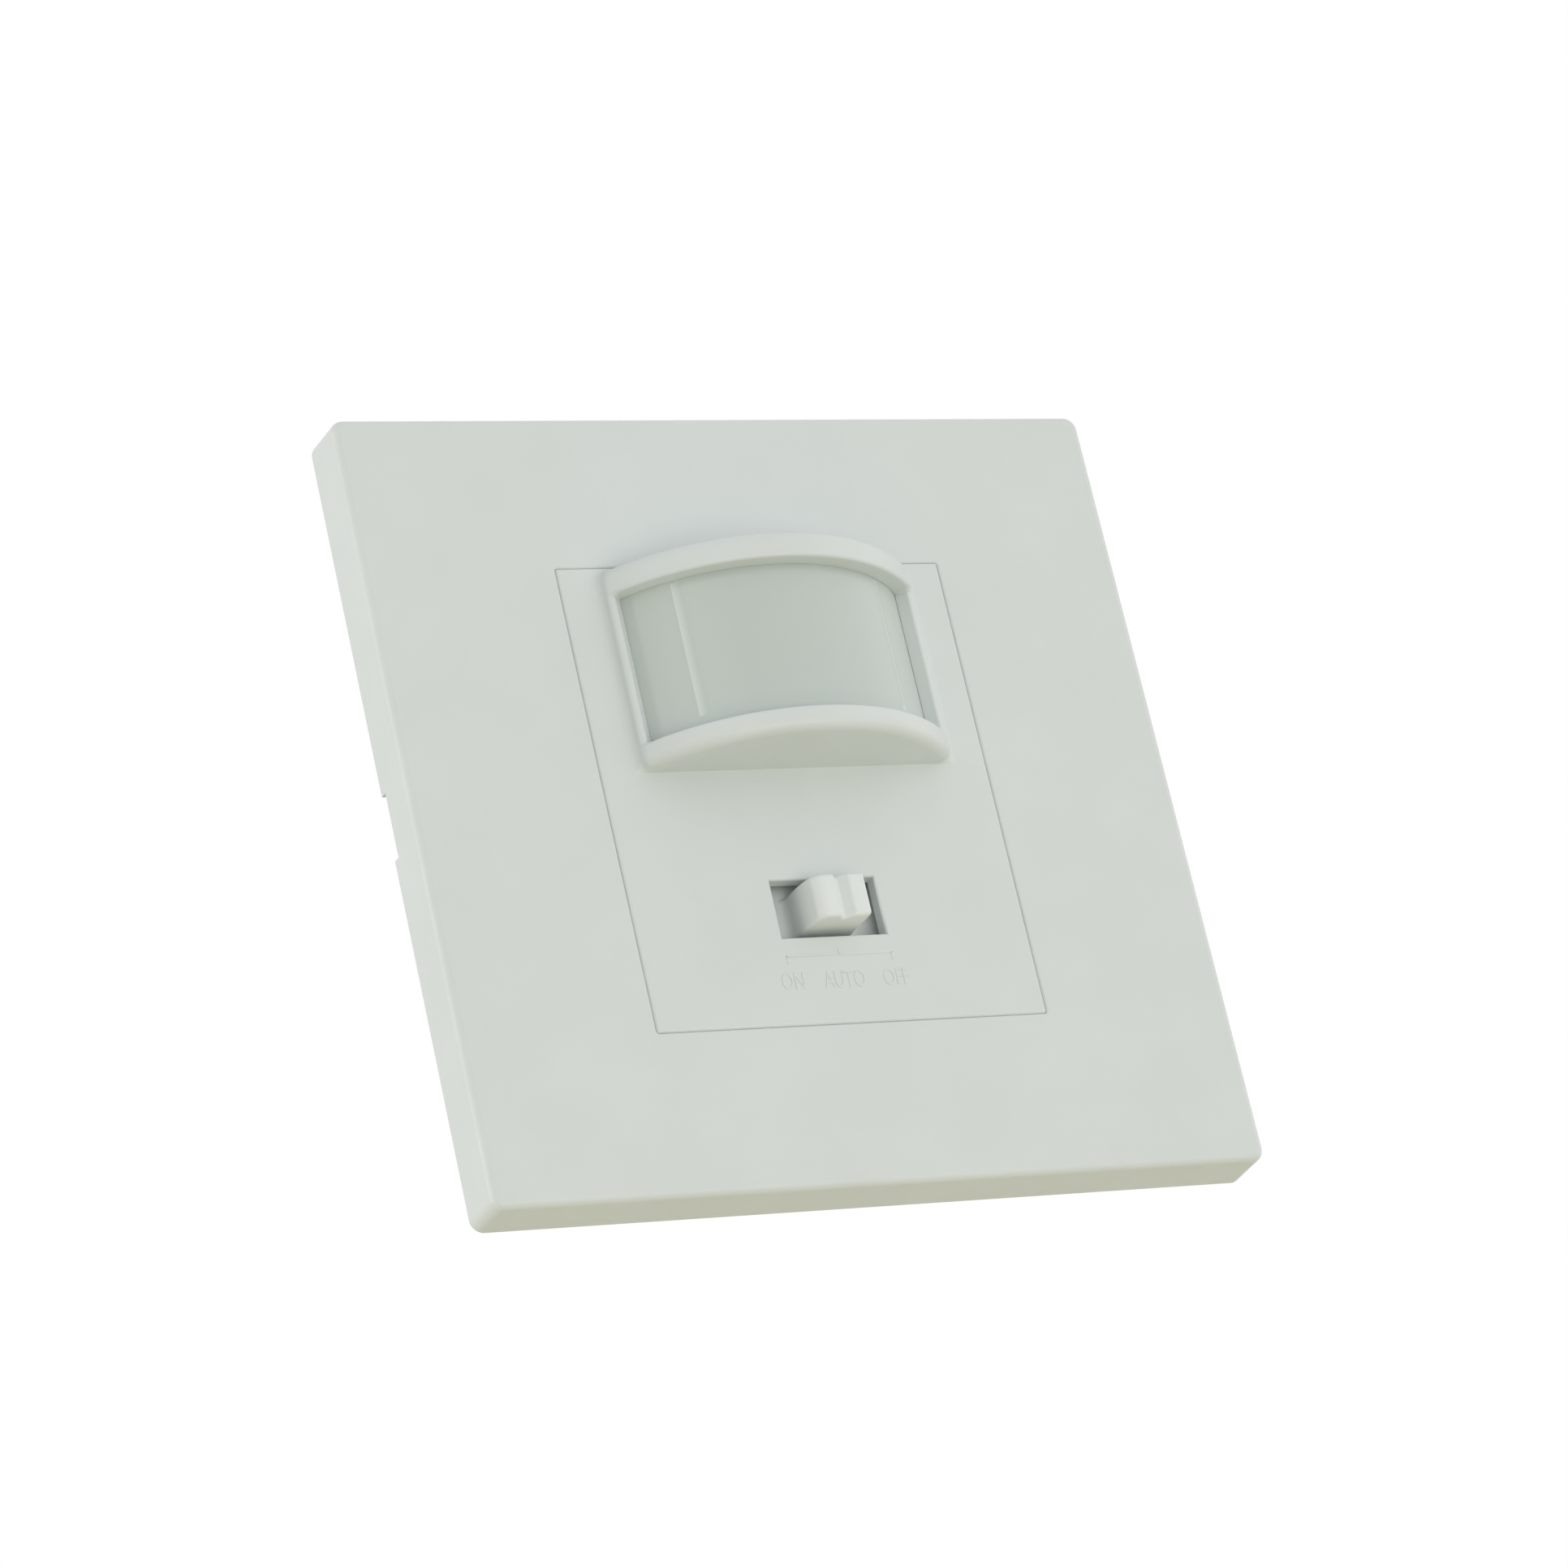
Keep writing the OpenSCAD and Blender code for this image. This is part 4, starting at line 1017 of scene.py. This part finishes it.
class SWITCH_OT_lens(bpy.types.Operator):
    """Makes the curved lens sheet with its raised middle and its two feet"""

    bl_idname = "switch.lens"
    bl_label = "Lens"

    def execute(self, context):
        s, _, _ = settings()
        bm = bmesh.new()
        arch = s.hood_rise - s.hood_side
        hood = (s.hood_half_width ** 2 + arch ** 2) / (2 * arch)
        axis = s.front - s.hood_rise + hood
        radius = hood - s.hood_wall - s.lens_gap
        foot = s.front + s.panel_skin
        reach = math.acos((axis - foot) / radius)
        start = radius * math.sin(reach)
        outer, inner = (math.asin((s.pad_half - slope) / radius) for slope in (0.0, s.pad_slope))
        low, high = s.pad_low + s.pad_slope, s.pad_high - s.pad_slope
        levels = (s.lens_low, s.pad_low, low, high, s.pad_high, s.lens_high)
        chain = [bm.verts.new((-start, foot, z)) for z in levels]
        last = chain + [bm.edges.new(pair) for pair in zip(chain, chain[1:])]
        turns = ((reach - outer, LENS_SIDE_STEPS), (outer - inner, 1), (2 * inner, LENS_PAD_STEPS))
        for angle, steps in turns + turns[1::-1]:
            last = bmesh.ops.spin(
                bm, geom=last, cent=(0.0, axis, 0.0), axis=(0.0, 0.0, 1.0),
                angle=angle, steps=steps,
            )["geom_last"]
        raised = [
            vert for vert in bm.verts
            if low - TOUCH < vert.co.z < high + TOUCH
            and abs(vert.co.x) < s.pad_half - s.pad_slope + TOUCH
        ]
        share = 1 + s.pad_rise / radius
        bmesh.ops.scale(
            bm, vec=(share, share, 1.0), space=at(0.0, -axis, 0.0), verts=raised
        )
        for side in (-1, 1):
            ends = [
                edge for edge in bm.edges
                if all(near(vert.co.x, side * start) for vert in edge.verts)
            ]
            made = bmesh.ops.extrude_edge_only(bm, edges=ends)["geom"]
            tips = [part for part in made if isinstance(part, bmesh.types.BMVert)]
            bmesh.ops.translate(bm, verts=tips, vec=(side * (s.lens_reach - start), 0.0, 0.0))
        point_outwards(bm)
        crest = min(bm.faces, key=lambda face: face.calc_center_median().y)
        if crest.normal.y > 0:
            bmesh.ops.reverse_faces(bm, faces=bm.faces[:])
        bmesh.ops.solidify(bm, geom=bm.faces[:], thickness=s.lens_sheet)
        bmesh.ops.recalc_face_normals(bm, faces=bm.faces[:])
        # Mask of the painted highlight: the sloping sides of the raised middle, full at their
        # outer edge and none at their inner one
        rib_highlight = bm.loops.layers.float.new(PAINTED_RIB_HIGHLIGHT)
        for face in bm.faces:
            middle = face.calc_center_median()
            sloped = s.pad_half - s.pad_slope < abs(middle.x) < s.pad_half
            outside = math.hypot(middle.x, middle.y - axis) > radius - s.lens_sheet / 2
            if sloped and outside and s.pad_low < middle.z < s.pad_high:
                for corner in face.loops:
                    corner[rib_highlight] = float(abs(corner.vert.co.x) > abs(middle.x))
        lens = finish_piece(bm, "lens_sheet", "module", "lens_milky", ["fresnel_lens"])
        even_normals(lens)
        return {"FINISHED"}


class SWITCH_OT_selector_knob(bpy.types.Operator):
    """Makes the selector's knob with its finger groove and its flange"""

    bl_idname = "switch.selector_knob"
    bl_label = "Selector knob"

    def execute(self, context):
        s, _, _ = settings()
        bm = bmesh.new()
        sunk = (s.flange_front + s.flange_back) / 2
        foot = s.flange_front + TOUCH
        heel = s.knob_left - 2 * s.knob_fillet
        tip = s.knob_tip
        outline = (
            (heel, sunk, 0.0),
            (heel, foot, 0.0),
            (s.knob_left, foot, s.knob_fillet),
            (s.knob_left, s.front, s.knob_shoulder),
            (s.knob_left + s.knob_lean, tip, s.knob_brow),
            (s.groove_middle - s.groove_half, tip, s.knob_round / 4),
            (s.groove_middle - s.groove_shift, tip + s.groove_depth, s.groove_round),
            (s.groove_middle + s.groove_half, tip, s.knob_round / 2),
            (s.knob_right, tip, s.knob_round),
            (s.knob_right, sunk, 0.0),
        )
        bar(bm, outline, s.slot_level - s.knob_half, s.slot_level + s.knob_half, s.knob_end)
        point_outwards(bm)
        flange = bmesh.ops.create_cube(
            bm, size=2.0,
            matrix=at(0.0, sunk, s.slot_level) @ Matrix.Diagonal((
                s.flange_half_width, (s.flange_back - s.flange_front) / 2,
                s.flange_half_height, 1.0,
            )),
        )["verts"]
        soften(bm, edges_of(flange), s.knob_break, BREAK_STEPS)
        knob = finish_piece(bm, "knob_shell", "selector", "knob_white", ["selector_knob"])
        even_normals(knob)
        return {"FINISHED"}


class SWITCH_OT_legend(bpy.types.Operator):
    """Makes the raised legend under the selector's slot"""

    bl_idname = "switch.legend"
    bl_label = "Legend"

    words: StringProperty(
        name="Words", description="Words of the legend from left to right", default="ON AUTO OFF"
    )

    def execute(self, context):
        s, _, _ = settings()
        bm = bmesh.new()
        words = self.words.split()
        for number, word in enumerate(words):
            middle = (number - (len(words) - 1) / 2) * s.letter_step
            self.letters(bm, s, word, middle)
        drop = s.line_drop
        ribs = [(0.0, s.line_level, s.line_half + s.line_width / 2, s.line_width / 2)]
        for side in (-1, 1):
            ribs.append((side * s.line_half, s.line_level - drop / 2, s.line_width / 2, drop / 2))
        ribs.append((0.0, s.line_level + s.line_lift / 2, s.line_width / 2, s.line_lift / 2))
        for x, z, half_width, half_height in ribs:
            made = bmesh.ops.create_cube(
                bm, size=2.0,
                matrix=at(x, s.front, z)
                @ Matrix.Diagonal((half_width, s.letter_rise, half_height, 1.0)),
            )["verts"]
            soften(bm, edges_of(made), s.letter_rise / 2, BREAK_STEPS)
        finish_piece(bm, "legend", "module", "panel_white")
        return {"FINISHED"}

    def letters(self, bm, s, word, middle):
        """Adds one raised word, sunk halfway into the panel."""
        curve = bpy.data.curves.new(word, "FONT")
        curve.body = word
        curve.align_x = "CENTER"
        curve.align_y = "CENTER"
        curve.size = s.letter_height * LETTER_SIZE
        curve.extrude = s.letter_rise * LETTER_WALL
        curve.bevel_depth = s.letter_rise * (1 - LETTER_WALL)
        curve.bevel_resolution = 1
        curve.offset = -s.letter_rise * LETTER_THIN
        shape = bpy.data.objects.new(word, curve)
        bpy.context.scene.collection.objects.link(shape)
        bpy.context.view_layer.update()
        mesh = bpy.data.meshes.new_from_object(shape)
        narrow = Matrix.Diagonal((LETTER_WIDTH, 1.0, 1.0, 1.0))
        mesh.transform(at(middle, s.front, s.letter_level) @ faces_room() @ narrow)
        bm.from_mesh(mesh)
        bmesh.ops.remove_doubles(bm, verts=bm.verts[:], dist=HAIR)
        bpy.data.objects.remove(shape)
        bpy.data.curves.remove(curve)
        bpy.data.meshes.remove(mesh)


class SWITCH_OT_works(bpy.types.Operator):
    """Gives every solid that stays its broken edges and its finish"""

    bl_idname = "switch.works"
    bl_label = "Works"

    def execute(self, context):
        made = finishes()
        for row in frame["record"]["subparts"]:
            node = frame["nodes"][row["node"]]
            if node.hide_render:
                continue
            node.data.materials.clear()
            node.data.materials.append(made[row["material_slot"]])
            thin = min(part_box(row["node"])[1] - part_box(row["node"])[0])
            weld = node.modifiers.new("joined", "WELD")
            weld.merge_threshold = 2 * HAIR
            flat = node.modifiers.new("flats", "DECIMATE")
            flat.decimate_type = "DISSOLVE"
            flat.angle_limit = FLAT_TURN
            edge = node.modifiers.new("edges", "BEVEL")
            edge.limit_method = "ANGLE"
            edge.angle_limit = SHARP_TURN
            edge.width = min(EDGE_BREAK, thin * EDGE_SHARE)
            edge.segments = BREAK_STEPS
            edge.profile = 0.5
            edge.harden_normals = True
            even_normals(node)
        return {"FINISHED"}


class SWITCH_OT_stage(bpy.types.Operator):
    """Makes the pale floor, the soft light and the camera"""

    bl_idname = "switch.stage"
    bl_label = "Stage"

    def execute(self, context):
        _, _, stage = settings()
        scene = context.scene
        scene.view_settings.view_transform = "Standard"
        self.floor(scene, stage)
        self.world(scene, stage)
        self.lamp(scene, "key", stage.key, KEY_PLACE, KEY_SIZE)
        self.lamp(scene, "rim", stage.rim, RIM_PLACE, RIM_SIZE)
        self.camera(scene, stage)
        return {"FINISHED"}

    def floor(self, scene, stage):
        """A wide round floor under the switch that fades out at its rim."""
        bm = bmesh.new()
        bmesh.ops.create_circle(
            bm, cap_ends=True, radius=FLOOR_RADIUS, segments=FLOOR_STEPS,
            matrix=at(0.0, 0.0, stage.floor_level),
        )
        mesh = bpy.data.meshes.new("floor")
        bm.to_mesh(mesh)
        bm.free()
        material, tree, shader, place = new_finish("floor")
        tone = linear(stage.floor)
        cloud = speckle(tree, place, FLOOR_CLOUD)
        tree.links.new(
            two_tones(tree, cloud, tinted(tone, 0.99), tinted(tone, 1.01)),
            shader.inputs["Base Color"],
        )
        shader.inputs["Roughness"].default_value = FLOOR_ROUGHNESS
        far = tree.nodes.new("ShaderNodeVectorMath")
        far.operation = "LENGTH"
        tree.links.new(place, far.inputs[0])
        fade = tree.nodes.new("ShaderNodeMapRange")
        fade.interpolation_type = "SMOOTHSTEP"
        fade.inputs["From Min"].default_value = FLOOR_RADIUS * FADE_START
        fade.inputs["From Max"].default_value = FLOOR_RADIUS * FADE_END
        fade.inputs["To Min"].default_value = 1.0
        fade.inputs["To Max"].default_value = 0.0
        tree.links.new(far.outputs["Value"], fade.inputs["Value"])
        tree.links.new(fade.outputs["Result"], shader.inputs["Alpha"])
        mesh.materials.append(material)
        ground = bpy.data.objects.new("floor", mesh)
        scene.collection.objects.link(ground)

    def world(self, scene, stage):
        """Even light, and white wherever the background shows or is mirrored."""
        world = bpy.data.worlds.new("studio")
        scene.world = world
        world.use_nodes = True
        tree = world.node_tree
        tree.nodes.clear()
        even, white = (tree.nodes.new("ShaderNodeBackground") for _ in range(2))
        for light in (even, white):
            light.inputs["Color"].default_value = (1.0, 1.0, 1.0, 1.0)
        sky = tree.nodes.new("ShaderNodeTexCoord")
        split = tree.nodes.new("ShaderNodeSeparateXYZ")
        tree.links.new(sky.outputs["Generated"], split.inputs["Vector"])
        sideways = tree.nodes.new("ShaderNodeMapRange")
        sideways.inputs["From Min"].default_value = -1.0
        sideways.inputs["To Min"].default_value = stage.ambient * (1 - stage.lean)
        sideways.inputs["To Max"].default_value = stage.ambient * (1 + stage.lean)
        tree.links.new(split.outputs["X"], sideways.inputs["Value"])
        tree.links.new(sideways.outputs["Result"], even.inputs["Strength"])
        white.inputs["Strength"].default_value = 1.0
        path = tree.nodes.new("ShaderNodeLightPath")
        seen = path.outputs["Is Camera Ray"]
        for ray in ("Is Glossy Ray", "Is Transmission Ray"):
            either = tree.nodes.new("ShaderNodeMath")
            either.operation = "MAXIMUM"
            tree.links.new(seen, either.inputs[0])
            tree.links.new(path.outputs[ray], either.inputs[1])
            seen = either.outputs["Value"]
        mix = tree.nodes.new("ShaderNodeMixShader")
        tree.links.new(seen, mix.inputs["Fac"])
        tree.links.new(even.outputs["Background"], mix.inputs[1])
        tree.links.new(white.outputs["Background"], mix.inputs[2])
        output = tree.nodes.new("ShaderNodeOutputWorld")
        tree.links.new(mix.outputs["Shader"], output.inputs["Surface"])

    def lamp(self, scene, name, power, place, size):
        """One soft square lamp that looks at the switch."""
        light = bpy.data.lights.new(name, "AREA")
        light.energy = power
        light.size = size
        lamp = bpy.data.objects.new(name, light)
        lamp.location = place
        lamp.rotation_euler = (-Vector(place)).to_track_quat("-Z", "Y").to_euler()
        lamp.visible_camera = False
        scene.collection.objects.link(lamp)

    def camera(self, scene, stage):
        """The view of the photograph, from the left and from below."""
        data = bpy.data.cameras.new("camera")
        data.sensor_width = SENSOR_WIDTH
        data.lens = stage.focal
        data.clip_start = NEAREST
        data.clip_end = FARTHEST
        camera = bpy.data.objects.new("camera", data)
        turn = Matrix((CAMERA_RIGHT, CAMERA_UP, CAMERA_BACK)).transposed().to_4x4()
        camera.matrix_world = at(*CAMERA_PLACE) @ turn
        scene.collection.objects.link(camera)
        scene.camera = camera


class SWITCH_PT_sidebar(bpy.types.Panel):
    """Lists the pieces of the switch in the sidebar"""

    bl_label = "Motion sensor light switch"
    bl_idname = "SWITCH_PT_sidebar"
    bl_space_type = "VIEW_3D"
    bl_region_type = "UI"
    bl_category = "Switch"

    def draw(self, context):
        for piece in PIECES:
            self.layout.operator(piece.bl_idname)
        for group in settings():
            box = self.layout.box()
            for name in group.__annotations__:
                box.prop(group, name)


PIECES = (
    SWITCH_OT_face_plate, SWITCH_OT_front_panel, SWITCH_OT_lens, SWITCH_OT_selector_knob,
    SWITCH_OT_legend, SWITCH_OT_works, SWITCH_OT_stage,
)
GROUPS = {
    "switch_sizes": SwitchSizes, "switch_colours": SwitchColours, "switch_stage": SwitchStage,
}


def register():
    """Registers the classes and puts the sizes, colours and stage on the scene."""
    for made in (*GROUPS.values(), *PIECES, SWITCH_PT_sidebar):
        bpy.utils.register_class(made)
    for name, group in GROUPS.items():
        setattr(bpy.types.Scene, name, PointerProperty(type=group))


def unregister():
    """Takes all of it away again."""
    for name in GROUPS:
        delattr(bpy.types.Scene, name)
    for made in (SWITCH_PT_sidebar, *reversed(PIECES), *GROUPS.values()):
        bpy.utils.unregister_class(made)


def main():
    """Builds the switch and its stage."""
    register()
    bpy.ops.switch.face_plate()
    bpy.ops.switch.front_panel()
    bpy.ops.switch.lens()
    bpy.ops.switch.selector_knob()
    bpy.ops.switch.legend()
    bpy.ops.switch.works()
    bpy.ops.switch.stage()


if __name__ == "__main__":
    main()
